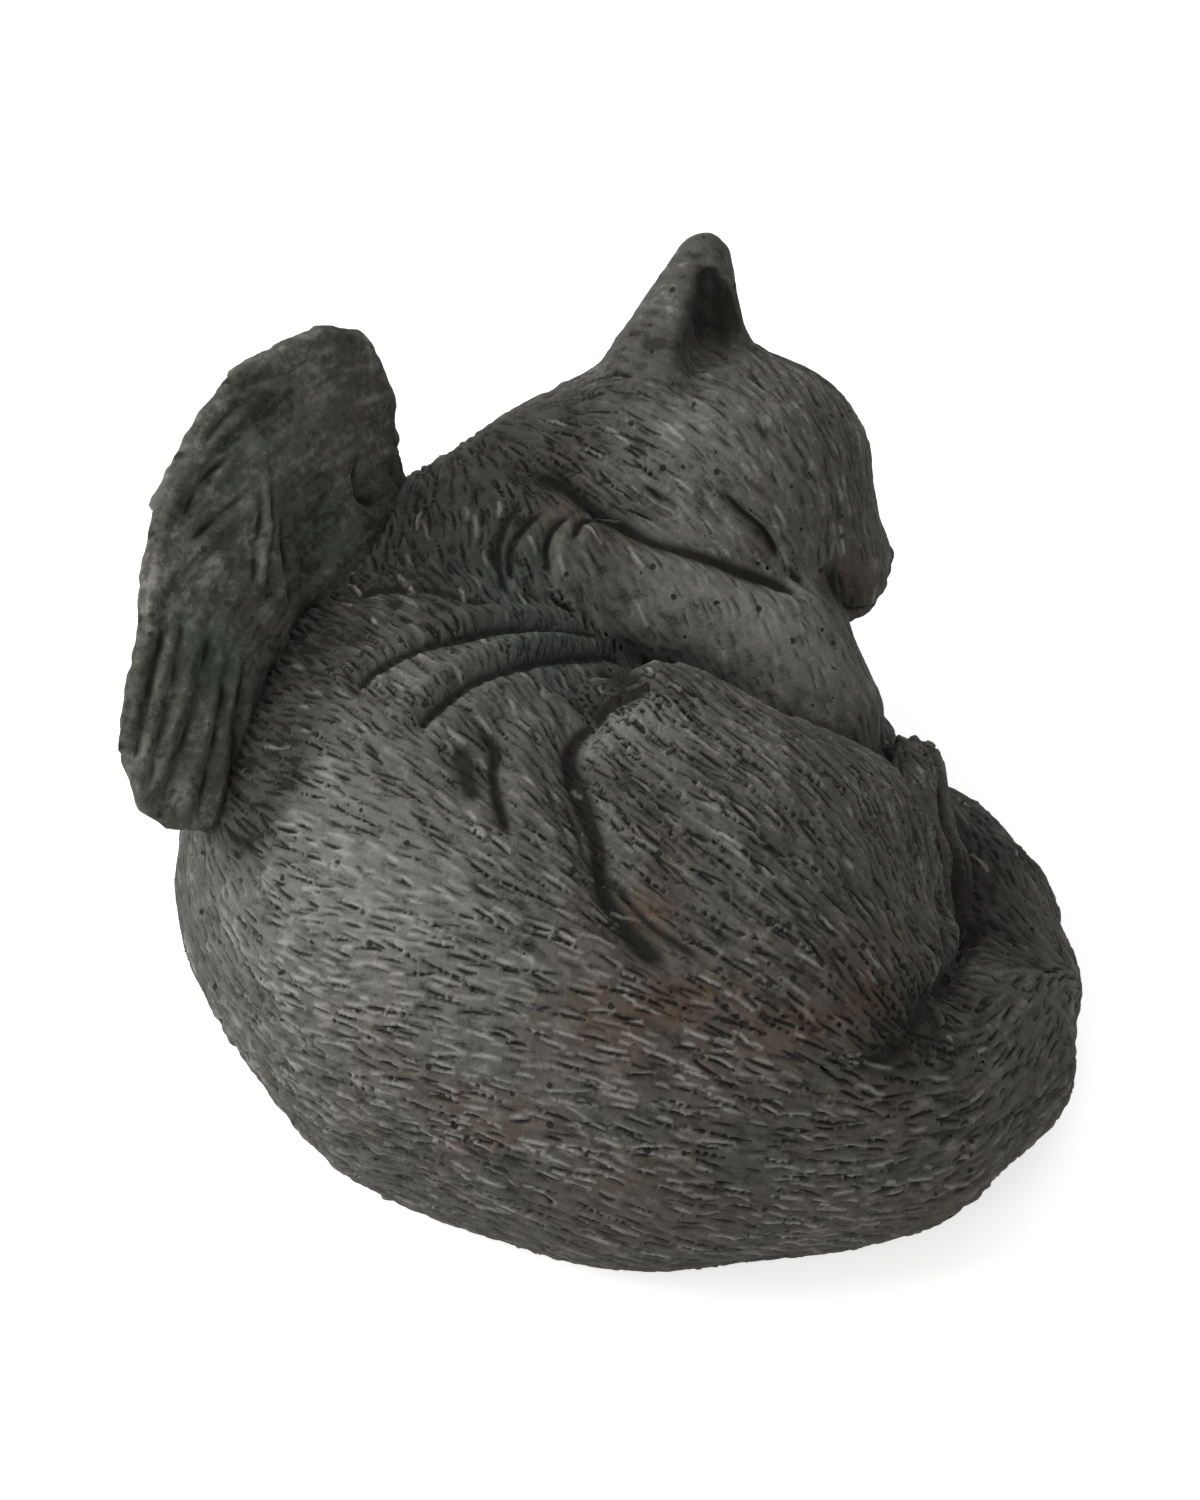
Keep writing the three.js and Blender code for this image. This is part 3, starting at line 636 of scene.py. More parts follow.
def grooveRise(across, along, length, form):
    fade = min(grooves["fade"], length * grooves["fadeShare"])
    ends = smoothStep(-1, fade, along) * smoothStep(-1, fade, length - along)
    groove = np.exp(-(np.abs(across / form["width"]) ** grooves["power"]))
    rise = -form["depth"] * groove
    wide = form["reach"] * grooves["swellWidth"]
    for sign, key in ((1, "swell"), (-1, "other")):
        rise = rise + form[key] * np.exp(-(((across * sign - form["reach"]) / wide) ** 2))
    # the second value is painted shade in the groove, darkest where the groove is deepest
    shade = form["shade"] if form["depth"] > 0 else 0
    return rise * ends, groove * ends * shade * min(abs(form["depth"]) / grooves["fullShadeDepth"], 1)


def settled(line):
    line = ontoSkin(line, 2)
    return line, unit(slopeOf(line))


def cutLines(p, lines, settle=settled):
    rise, creaseShade = np.zeros(len(p)), np.zeros(len(p))
    for line, form in lines:
        line, up = settle(resampled(line))
        hit, across, along, length = besideLine(p, line, up, form["reach"] * 2 + form["width"])
        change, groove = grooveRise(across, along, length, form)
        rise[hit] += change
        creaseShade[hit] = np.maximum(creaseShade[hit], groove)
    return rise, creaseShade


def toeLines():
    lines = []
    for name in paws:
        before, last = (np.array(station, float) for station in limbForms[name][1][-2:])
        ahead = unit(last[:3] - before[:3])
        top = unit(np.array((0, 0, 1.0)) - ahead * ahead[2])
        across = np.cross(ahead, top)
        for offset in (-1, 0, 1):
            turns = np.radians(np.linspace(*toes["arc"], 6))[:, None]
            ring = top * np.cos(turns) + ahead * np.sin(turns)
            line = last[:3] + across * offset * toes["spread"] * last[3] + ring * last[3]
            lines.append((ontoSkin(line, 3), toes))
    return lines


def noiseAt(p, size, seed):
    grid = np.random.default_rng(seed).random((64, 64, 64))
    q = p / size + 32.0
    low = np.floor(q).astype(int)
    t = q - low
    t = t * t * (3 - 2 * t)
    total = 0
    for corner in np.ndindex(2, 2, 2):
        weight = np.prod(np.where(corner, t, 1 - t), axis=1)
        spot = (low + corner) % 64
        total = total + weight * grid[spot[:, 0], spot[:, 1], spot[:, 2]]
    return total * 2 - 1


lines = [(seenOnSkin(row[-1]), formOfLine(row)) for row in bodyLines]
for row in faceLines:
    form, points = formOfLine(row), np.array(row[-1], float)
    lines.append((ontoSkin(inHead(points), 5), form))
    mirrored = {**form, "swell": form["other"], "other": form["swell"]}
    lines.append((ontoSkin(inHead(points * (1, -1, 1)), 5), mirrored))
rise, creaseShade = cutLines(places, lines + toeLines())
waves = {"wide": (0.5, 24, 3), "fine": (0.3, 8, 4)}  # height, size and seed of the hand-made unevenness
earOwners = [partNames.index(name) + 1 for name in ("ear_right", "ear_left")]
calm = np.where(np.isin(owners, earOwners), 0.5, 1.0)
for height, size, seed in waves.values():
    rise += height * noiseAt(places, size, seed) * calm
# Painted shade with the wash in the hollows: the skin darkens where other stone stands close in front of it, as
# ambient occlusion does.
shadeReaches = ((3.0, 0.3), (7.0, 0.35), (14.0, 0.35))  # how far off the skin it looks, and each look's share
hollowWashAndShade = np.zeros(len(places))
for reach, share in shadeReaches:
    clear = skinField(places + normals * reach) / reach
    hollowWashAndShade += share * np.clip(1 - clear, 0, 1)
standing = smoothStep(0.0, 4.0, places[:, 2])
sculpted = places + normals * (rise * standing)[:, None]

ends = np.unique(edgesOf(compactFaces), axis=0)
cross = np.concatenate([compactFaces[:, [0, 2]], compactFaces[:, [1, 3]]])
allEnds = np.concatenate([ends, cross])


def spread(values, weights, pairs=None):
    a, b = (allEnds if pairs is None else pairs).T
    total = np.bincount(a, weights, len(values)) + np.bincount(b, weights, len(values))
    if values.ndim == 1:
        return (np.bincount(a, weights * values[b], len(values))
                + np.bincount(b, weights * values[a], len(values))) / np.maximum(total, 1e-9)
    return np.stack([spread(values[:, k], weights, pairs) for k in range(values.shape[1])], 1)


def turnsOf(p, faces):
    return np.cross(p[faces[:, 2]] - p[faces[:, 0]], p[faces[:, 3]] - p[faces[:, 1]])


def mended(p, rounds=14, folded=0.35, margin=4):
    turn = unit(turnsOf(p, compactFaces))
    bad = np.einsum("ij,ij->i", turn, unit(normals[compactFaces].mean(1))) < folded
    marked = np.zeros(len(p))
    marked[compactFaces[bad]] = 1
    for _ in range(margin):
        marked = np.maximum(marked, (spread(marked, np.ones(len(allEnds))) > 0) * 1.0)
    ones = np.ones(len(ends))
    for _ in range(rounds):
        p = np.where(marked[:, None] > 0, spread(p, ones, ends), p)
    print("mended", int(bad.sum()), "folded faces")
    return p


sculpted = mended(sculpted)
print("folds, face and toes sculpted")


# Fur: short strokes along the lie of the coat. Guides are strokes seen in the picture, from pixel to pixel.

furGuides = [
    (602, 730, 625, 741), (728, 716, 751, 727), (855, 778, 871, 806), (905, 834, 916, 862), (922, 913, 928, 941),
    (911, 983, 922, 1011), (827, 817, 855, 851), (756, 800, 784, 828), (644, 786, 672, 812), (686, 856, 714, 873),
    (756, 879, 799, 901), (813, 913, 835, 935), (863, 907, 883, 929), (644, 907, 672, 941), (686, 955, 723, 977),
    (742, 969, 773, 991), (799, 983, 827, 997), (877, 991, 894, 1022), (588, 1019, 616, 1025),
    (658, 1053, 686, 1064), (651, 1062, 687, 1065), (712, 1154, 749, 1170), (651, 1139, 681, 1139),
    (819, 1139, 859, 1130), (957, 1154, 987, 1142), (981, 1111, 993, 1093), (1018, 1069, 1024, 1056),
    (1050, 1010, 1053, 990), (651, 1225, 681, 1238), (560, 1194, 590, 1206), (300, 950, 340, 955),
    (450, 1000, 500, 1003), (330, 1050, 370, 1062), (430, 1130, 470, 1142), (400, 900, 440, 908),
    (560, 940, 600, 946), (210, 900, 216, 930), (225, 970, 245, 995), (270, 1040, 300, 1065), (900, 1090, 930, 1075),
    (1000, 900, 1015, 930), (394, 700, 427, 723), (340, 720, 370, 728), (300, 790, 335, 796), (437, 840, 455, 853),
    (549, 846, 575, 874), (330, 860, 370, 866), (496, 644, 503, 667), (521, 644, 526, 657), (442, 657, 457, 680),
    (406, 662, 429, 682), (611, 668, 613, 685), (636, 668, 639, 682), (542, 703, 557, 739), (452, 703, 473, 723),
    (534, 749, 560, 779), (524, 790, 552, 818), (360, 640, 400, 655), (420, 600, 460, 606), (480, 880, 520, 893),
    (441, 487, 448, 512), (419, 503, 429, 553), (480, 519, 464, 544), (530, 560, 532, 590), (591, 579, 604, 604),
    (642, 607, 649, 630), (719, 608, 725, 633), (776, 661, 783, 681), (690, 590, 697, 610), (830, 700, 838, 720),
    (560, 545, 566, 565), (623, 413, 665, 417), (579, 390, 604, 378), (639, 477, 687, 506), (623, 505, 665, 528),
    (559, 455, 591, 470), (687, 420, 703, 448), (744, 388, 770, 432), (789, 397, 805, 429), (824, 413, 840, 448),
    (821, 455, 824, 493), (859, 461, 864, 499), (846, 531, 853, 563), (700, 370, 740, 372), (760, 500, 775, 530),
    (740, 545, 760, 560), (939, 870, 950, 913),
]
coat = {
    "guideReach": 20,
    "guidePull": 1.0,
    "ownWay": 0.02,  # how far the limb's own way counts beside the guides
    "seed": 11,
    "candidates": 90000,
    "cell": 12.5,  # of the search for neighbours, more than any gap
    "lowest": 1.5,
    "turn": 7,
    "lengths": (0.5, 1.3),
    "forces": (0.25, 1.2),
    "fullDepth": 0.6,
    "bend": 1.6,
    "sway": 0.5,
    "width": 0.95,
    "depth": 1.0,
    "steps": 6,
}
wornLines = {
    "pixels": [(470, 960), (380, 1010), (560, 1040), (690, 1110), (340, 930), (620, 1150), (300, 1000), (450, 1100),
               (800, 1190)],
    "reach": 26,
    "chance": (0.05, 0.75),  # everywhere, and added near those pixels
    "beside": (0.7, 1.4),
    "lengths": (3.5, 12.0),
    "forces": (0.4, 1.0),
    "width": 0.85,
    "depth": -0.12,
}
fineHair = {"rounds": 14, "keep": 0.35, "take": 0.65, "narrow": 10, "loose": 0.002, "depth": 0.34}
strokeForms = {  # length, gap along, gap across and depth of the strokes on each piece
    "torso": (11.0, 7.6, 1.35, 0.7),
    "haunch_right": (17.0, 10.5, 1.3, 0.8),
    "tail": (9.5, 7.4, 1.45, 0.7),
    "head": (9.0, 7.6, 1.5, 0.5),
    "foreleg_right": (8.0, 8.0, 2.1, 0.42),
    "foreleg_left": (8.0, 8.0, 2.1, 0.42),
    "hind_foot_right": (13.0, 9.0, 1.5, 0.65),
    "hind_leg_left": (9.0, 8.0, 1.8, 0.5),
    "ear": (4.5, 8.0, 3.0, 0.25),
}
formOf = [strokeForms["ear" if node.startswith("ear") else node] for node in partNodes.values()]


def wayAlong(p, stations):
    nearest, way = np.full(len(p), 1e9), np.zeros_like(p)
    for start, end in zip(stations[:-1], stations[1:]):
        start, end = np.array(start[:3], float), np.array(end[:3], float)
        axis = end - start
        t = np.clip((p - start) @ axis / (axis @ axis), 0, 1)
        far = np.linalg.norm(p - start - t[:, None] * axis, axis=1)
        closer = far < nearest
        nearest[closer] = far[closer]
        way[closer] = unit(axis)
    return way


def lieOfCoat(p, up, owner):
    way = np.zeros_like(p)
    for n, node in enumerate(partNodes.values()):
        mine = owner == n + 1
        if node == "torso":
            way[mine] = wayAlong(p[mine], bodyForm["spine"][::-1])
        elif node == "head" or node.startswith("ear"):
            way[mine] = headAxes[0] if node == "head" else headAxes[2]
        else:
            way[mine] = wayAlong(p[mine], limbForms[node][1])
    way = way * coat["ownWay"]
    ends = np.array(furGuides, float)
    starts, ends = seenOnSkin(ends[:, :2]), seenOnSkin(ends[:, 2:])
    for start, end in zip(starts, ends):
        away = p - (start + end) / 2
        pull = np.exp(-np.einsum("ij,ij->i", away, away) / (2 * coat["guideReach"] ** 2)) * coat["guidePull"]
        way += pull[:, None] * unit(end - start)
    way -= up * np.einsum("ij,ij->i", way, up)[:, None]
    return unit(way)


def sowStrokes(random):
    centres = sculpted[compactFaces].mean(1)
    up = unit(normals[compactFaces].mean(1))
    chance = np.linalg.norm(turnsOf(sculpted, compactFaces), axis=1) * (centres[:, 2] > coat["lowest"])
    picked = random.choice(len(centres), coat["candidates"], replace=False, p=chance / chance.sum())
    p, up, owner = centres[picked], up[picked], skinOwners[picked]
    way = lieOfCoat(p, up, owner)
    forms = np.array(formOf)[owner - 1]
    keys = np.floor(p / coat["cell"]).astype(int)
    crowd = {}
    kept = []
    for n in range(len(p)):
        x, y, z = keys[n]
        near = [m for dx in (-1, 0, 1) for dy in (-1, 0, 1) for dz in (-1, 0, 1)
                for m in crowd.get((x + dx, y + dy, z + dz), ())]
        if near:
            off = p[near] - p[n]
            along = off @ way[n]
            across = np.einsum("ij,ij->i", off, off) - along**2
            if np.any((along / forms[n, 1]) ** 2 + across / forms[n, 2] ** 2 < 1):
                continue
        kept.append(n)
        crowd.setdefault((x, y, z), []).append(n)
    return p[kept], up[kept], way[kept], forms[kept], owner[kept]


def streaksAlong(random, way):  # loose noise drawn out along the lie of the coat
    value = random.normal(0, 1, len(way))
    edge = unit(sculpted[allEnds[:, 1]] - sculpted[allEnds[:, 0]])
    lie = unit(way[allEnds[:, 0]] + way[allEnds[:, 1]])
    weights = np.abs(np.einsum("ij,ij->i", edge, lie)) ** fineHair["narrow"] + fineHair["loose"]
    for _ in range(fineHair["rounds"]):
        value = fineHair["keep"] * value + fineHair["take"] * spread(value, weights)
    return (value - value.mean()) / value.std()


random = np.random.default_rng(coat["seed"])
streaks = streaksAlong(random, lieOfCoat(sculpted, normals, owners))
streakDepth = np.array([form[3] for form in formOf])[owners - 1] * fineHair["depth"]
sculpted = sculpted + normals * (streaks * streakDepth * standing)[:, None]
print("fine hair drawn")
seeds, seedUps, seedWays, seedForms, seedOwners = sowStrokes(random)
print("strokes sown", len(seeds))


# The strokes are carved by one tree of geometry nodes, once deep with painted shade in their grooves, once as thin
# worn lines

def addNode(tree, kind, links=None, **settings):
    node = tree.nodes.new(kind)
    for key, value in settings.items():
        setattr(node, key, value)
    for key, value in (links or {}).items():
        socket = node.inputs[key]
        if isinstance(value, bpy.types.NodeSocket):
            tree.links.new(value, socket)
        else:
            socket.default_value = value
    return node


def addSocket(tree, name, kind, value=None, way="INPUT"):
    socket = tree.interface.new_socket(name, in_out=way, socket_type="NodeSocket" + kind)
    if value is not None:
        socket.default_value = value


def mathNode(tree, operation, a, b=0.0, clamp=False):
    return addNode(tree, "ShaderNodeMath", {0: a, 1: b}, operation=operation, use_clamp=clamp).outputs[0]


def makeCarvingTree():
    tree = bpy.data.node_groups.new("furCarving", "GeometryNodeTree")
    addSocket(tree, "Casting", "Geometry")
    addSocket(tree, "Strokes", "Object")
    for name, value in (("Width", 0.0012), ("Depth", 0.0005), ("Sway", 0.0005)):
        addSocket(tree, name, "Float", value)
    addSocket(tree, "Mask Name", "String")
    addSocket(tree, "Material", "Material")
    addSocket(tree, "Casting", "Geometry", way="OUTPUT")
    given = addNode(tree, "NodeGroupInput").outputs

    def attribute(name, kind="FLOAT"):
        return addNode(tree, "GeometryNodeInputNamedAttribute", {"Name": name}, data_type=kind).outputs["Attribute"]

    def times(a, b):
        return mathNode(tree, "MULTIPLY", a, b)

    def scaled(vector, amount):
        return addNode(tree, "ShaderNodeVectorMath", {0: vector, 3: amount}, operation="SCALE").outputs[0]

    def stored(geometry, name, value):
        return addNode(tree, "GeometryNodeStoreNamedAttribute",
                       {"Geometry": geometry, "Name": name, "Value": value}, domain="POINT").outputs[0]

    def moved(geometry, how, value):
        return addNode(tree, "GeometryNodeSetPosition", {"Geometry": geometry, how: value}).outputs[0]

    # each seed becomes a short line of points, laid on the skin and bowed sideways
    seedPoints = addNode(tree, "GeometryNodeObjectInfo", {"Object": given["Strokes"]}, transform_space="RELATIVE")
    line = addNode(tree, "GeometryNodeMeshLine",
                   {"Count": coat["steps"] + 1, "Start Location": (-0.5, 0, 0), "Offset": (0.5, 0, 0)},
                   mode="END_POINTS")
    share = mathNode(tree, "DIVIDE", addNode(tree, "GeometryNodeInputIndex").outputs[0], coat["steps"])
    line = stored(line.outputs[0], "share", share)
    up, heading = attribute("upward", "FLOAT_VECTOR"), attribute("heading", "FLOAT_VECTOR")
    turn = addNode(tree, "FunctionNodeAxesToRotation", {"Primary Axis": up, "Secondary Axis": heading},
                   primary_axis="Z", secondary_axis="X")
    scale = addNode(tree, "ShaderNodeCombineXYZ", {0: attribute("length"), 1: 1.0, 2: 1.0})
    strokes = addNode(tree, "GeometryNodeInstanceOnPoints",
                      {"Points": seedPoints.outputs["Geometry"], "Instance": line,
                       "Rotation": turn.outputs[0], "Scale": scale.outputs[0]})
    strokes = addNode(tree, "GeometryNodeRealizeInstances", {0: strokes.outputs[0]}).outputs[0]
    bow = mathNode(tree, "SINE", times(attribute("share"), math.pi))
    sideways = addNode(tree, "ShaderNodeVectorMath", {0: up, 1: heading}, operation="CROSS_PRODUCT").outputs[0]
    strokes = moved(strokes, "Offset", scaled(sideways, times(times(bow, attribute("bend")), given["Sway"])))
    onto = addNode(tree, "GeometryNodeProximity", {0: given["Casting"]}, target_element="FACES")
    strokes = moved(strokes, "Position", onto.outputs["Position"])
    taper = mathNode(tree, "POWER", bow, 0.6)
    strokes = stored(strokes, "cut", times(taper, attribute("force")))

    # the casting sinks by its distance from the nearest line
    near = addNode(tree, "GeometryNodeProximity", {0: strokes}, target_element="EDGES")
    nearest = addNode(tree, "GeometryNodeSampleNearest", {0: strokes}, domain="POINT")
    force = addNode(tree, "GeometryNodeSampleIndex",
                    {"Geometry": strokes, "Value": attribute("cut"), "Index": nearest.outputs[0]},
                    data_type="FLOAT", domain="POINT")
    profile = addNode(tree, "ShaderNodeMapRange",
                      {"Value": near.outputs["Distance"], "From Min": 0.0, "From Max": given["Width"],
                       "To Min": 1.0, "To Max": 0.0}, interpolation_type="SMOOTHSTEP")
    mask = times(profile.outputs["Result"], force.outputs[0])
    casting = stored(given["Casting"], given["Mask Name"], mask)
    down = scaled(attribute("facing", "FLOAT_VECTOR"), times(mask, times(given["Depth"], -1.0)))
    casting = moved(casting, "Offset", down)
    casting = addNode(tree, "GeometryNodeRealizeInstances", {0: casting}).outputs[0]
    casting = addNode(tree, "GeometryNodeSetMaterial", {"Geometry": casting, "Material": given["Material"]})
    result = addNode(tree, "NodeGroupOutput")
    tree.links.new(casting.outputs[0], result.inputs[0])
    return tree


def newMesh(name, p, corners=None, counts=None):
    mesh = bpy.data.meshes.new(name)
    mesh.vertices.add(len(p))
    mesh.vertices.foreach_set("co", (p * mm).astype(np.float32).ravel())
    if corners is not None:
        mesh.loops.add(len(corners))
        mesh.loops.foreach_set("vertex_index", corners.astype(np.int32))
        mesh.polygons.add(len(counts))
        mesh.polygons.foreach_set("loop_start", (np.cumsum(counts) - counts).astype(np.int32))
    return mesh


def storeOn(mesh, name, values):
    kind, part = ("FLOAT_VECTOR", "vector") if values.ndim == 2 else ("FLOAT", "value")
    mesh.attributes.new(name, kind, "POINT").data.foreach_set(part, values.astype(np.float32).ravel())


def strokeObject(name, p, up, way, lengths, force, bends):
    mesh = newMesh(name, p)
    values = {"upward": up, "heading": way, "length": lengths * mm, "force": force, "bend": bends}
    for key, value in values.items():
        storeOn(mesh, key, value)
    return addObject(name, mesh)


def carve(p, strokes, maskName, form):
    mesh = newMesh("casting", p, compactFaces.ravel(), np.full(len(compactFaces), 4))
    storeOn(mesh, "facing", normals)
    mesh.update(calc_edges=True)
    casting = addObject("casting", mesh)
    modifier = casting.modifiers.new("carving", "NODES")
    modifier.node_group = carvingTree
    inputs = {"Strokes": strokes, "Mask Name": maskName, "Material": None,
              "Width": form["width"] * mm, "Depth": form["depth"] * mm, "Sway": coat["sway"] * mm}
    for socket in carvingTree.interface.items_tree:
        if socket.in_out == "INPUT" and socket.name in inputs:
            modifier[socket.identifier] = inputs[socket.name]
    graph = bpy.context.evaluated_depsgraph_get()
    carved = bpy.data.meshes.new_from_object(casting.evaluated_get(graph))
    casting.modifiers.remove(modifier)
    co = np.empty(len(p) * 3, np.float32)
    carved.vertices.foreach_get("co", co)
    mask = np.empty(len(p), np.float32)
    carved.attributes[maskName].data.foreach_get("value", mask)
    bpy.data.objects.remove(casting)
    bpy.data.objects.remove(strokes)
    bpy.data.meshes.remove(mesh)
    bpy.data.meshes.remove(carved)
    return co.reshape(-1, 3).astype(float) / mm, mask.astype(float)


carvingTree = makeCarvingTree()
turn = np.radians(random.normal(0, coat["turn"], len(seeds)))[:, None]
headings = seedWays * np.cos(turn) + np.cross(seedUps, seedWays) * np.sin(turn)
lengths = seedForms[:, 0] * random.uniform(*coat["lengths"], len(seeds))
force = seedForms[:, 3] / coat["fullDepth"] * random.uniform(*coat["forces"], len(seeds))
bends = random.uniform(-coat["bend"], coat["bend"], len(seeds))
strokes = strokeObject("furStrokes", seeds, seedUps, headings, lengths, force, bends)
# the mask of the deep strokes is painted shade in their grooves
carved, strokeShade = carve(sculpted, strokes, "strokeShade", coat)
wornCentres = seenOnSkin(wornLines["pixels"])
nearWorn = np.exp(-((np.linalg.norm(seeds[:, None] - wornCentres, axis=2).min(1) / wornLines["reach"]) ** 2))
everywhere, added = wornLines["chance"]
chosen = (random.random(len(seeds)) < everywhere + added * nearWorn) & ~np.isin(seedOwners, earOwners)
count = int(chosen.sum())
aside = np.cross(seedUps[chosen], seedWays[chosen]) * random.uniform(*wornLines["beside"], count)[:, None]
strokes = strokeObject("wornStrokes", seeds[chosen] + aside, seedUps[chosen], headings[chosen],
                       random.uniform(*wornLines["lengths"], count), random.uniform(*wornLines["forces"], count),
                       random.uniform(-1, 1, count))
carved, worn = carve(carved, strokes, "worn", wornLines)
print("fur carved, with", count, "worn lines")


def normalsOf(p, faces):
    turn = turnsOf(p, faces)
    total = [np.bincount(faces.ravel(), np.repeat(turn[:, k], 4), len(p)) for k in range(3)]
    return unit(np.stack(total, 1))


def overSkin(values):
    whole = np.zeros((len(skinPlaces),) + values.shape[1:])
    whole[skinUsed] = values
    return whole


finalPlaces = skinPlaces.copy()
finalPlaces[skinUsed] = carved
finalPlaces[:, 2] = np.maximum(finalPlaces[:, 2], 0)
finalNormals = overSkin(normalsOf(finalPlaces[skinUsed], compactFaces))
skinMasks = {"hollowWashAndShade": hollowWashAndShade, "creaseShade": creaseShade, "strokeShade": strokeShade, "worn": worn, "streak": streaks}

# Patches of colour, by pixel of the picture, radius on the skin and strength: grime with painted shadow,
# brown earth, green moss, and pale wear with painted light
patches = {
    # grime and painted shadow: the dark gap between wing and body, the hollow between hind foot and tail, round the
    # ear and at the muzzle
    "grime": [((275, 640), 15, 0.9), ((252, 715), 13, 0.9), ((236, 790), 10, 0.8), ((420, 560), 14, 0.5),
              ((318, 640), 12, 1.0), ((295, 685), 12, 1.0), ((276, 735), 11, 1.0), ((262, 785), 10, 1.0),
              ((248, 828), 9, 1.0), ((350, 600), 10, 0.7), ((454, 542), 20, 0.5),
              ((450, 610), 12, 0.5), ((625, 683), 9, 0.9), ((590, 700), 7, 0.7), ((470, 730), 8, 0.5),
              ((590, 790), 8, 0.6), ((520, 470), 12, 0.4), ((700, 690), 8, 0.5), ((890, 640), 10, 0.4),
              ((965, 830), 10, 0.8), ((972, 900), 11, 0.8), ((955, 975), 12, 0.9), ((925, 1010), 11, 0.8),
              ((885, 1050), 10, 0.5), ((410, 500), 10, 0.6), ((300, 660), 14, 0.8), ((268, 760), 10, 0.7),
              ((712, 300), 7, 0.45), ((716, 326), 8, 0.5), ((735, 335), 6, 0.5), ((565, 430), 12, 0.5),
              ((975, 780), 11, 0.9), ((985, 850), 12, 0.8), ((975, 930), 12, 0.8), ((905, 1040), 10, 0.6),
              ((840, 590), 8, 0.5), ((600, 560), 7, 0.4), ((990, 800), 12, 0.4), ((1000, 900), 14, 0.4)],
    "brown": [((600, 940), 13, 0.7), ((640, 980), 14, 0.6), ((830, 1000), 20, 0.6), ((880, 960), 16, 0.6),
              ((700, 1000), 20, 0.4), ((560, 505), 9, 0.6), ((620, 545), 8, 0.6), ((500, 1150), 30, 0.35),
              ((700, 1200), 34, 0.5), ((940, 1180), 26, 0.6), ((850, 575), 9, 0.8), ((840, 596), 5, 0.8),
              ((770, 500), 7, 0.5), ((420, 620), 10, 0.4), ((930, 830), 9, 0.5),
              ((715, 312), 7, 0.5), ((580, 440), 12, 0.5), ((762, 545), 4, 0.9), ((655, 845), 8, 0.5),
              ((655, 935), 6, 0.8), ((1010, 930), 20, 0.4), ((420, 1080), 30, 0.25)],
    "green": [((480, 600), 22, 0.6), ((530, 640), 18, 0.6), ((560, 700), 12, 0.6), ((510, 520), 14, 0.5),
              ((530, 560), 12, 0.4), ((700, 650), 14, 0.5), ((640, 560), 12, 0.4), ((460, 740), 14, 0.4),
              ((900, 700), 12, 0.4), ((985, 860), 16, 0.5), ((1030, 980), 16, 0.4)],
    # pale wear, and painted light on the knee, the rump, the lit left side, the cheek and the ridge of the muzzle
    "pale": [((612, 735), 9, 0.7), ((650, 705), 8, 0.4), ((470, 960), 26, 0.35), ((370, 900), 26, 0.35),
             ((330, 800), 28, 0.3), ((240, 930), 22, 0.3), ((700, 605), 14, 0.3), ((560, 575), 9, 0.4),
             ((640, 480), 16, 0.3), ((800, 572), 6, 0.5), ((875, 562), 4, 0.6), ((700, 430), 18, 0.2),
             ((450, 690), 12, 0.3), ((560, 730), 10, 0.3), ((505, 650), 9, 0.3),
             ((660, 600), 16, 0.45), ((760, 640), 16, 0.5), ((825, 655), 12, 0.5)],
}


def patchMask(p, spots, centres, widen):
    total = np.zeros(len(p))
    for centre, (_, radius, amount) in zip(centres, spots):
        away = p - centre
        total += amount * np.exp(-np.einsum("ij,ij->i", away, away) / (widen * radius) ** 2)
    return np.clip(total, 0, 1)


for key, spots in patches.items():
    skinMasks[key] = patchMask(places, spots, seenOnSkin([spot[0] for spot in spots]), 1.2)
skinMasks = {key: overSkin(values) for key, values in skinMasks.items()}


# Stone: a cast grey body with a dark wash and painted shade in the hollows, grooves, gaps and pits,
# worn light on what stands out, and pale wear with painted light in patches

def mixNode(tree, factor, a, b):
    return addNode(tree, "ShaderNodeMix", {0: factor, 6: a, 7: b}, data_type="RGBA").outputs[2]


def rangeNode(tree, value, low, high, start=0.0, end=1.0):
    return addNode(tree, "ShaderNodeMapRange", {0: value, 1: low, 2: high, 3: start, 4: end},
                   interpolation_type="SMOOTHSTEP").outputs[0]


def noiseNode(tree, where, scale, detail=2.0, roughness=0.5):
    return addNode(tree, "ShaderNodeTexNoise",
                   {"Scale": scale, "Detail": detail, "Roughness": roughness, "Vector": where}).outputs[0]


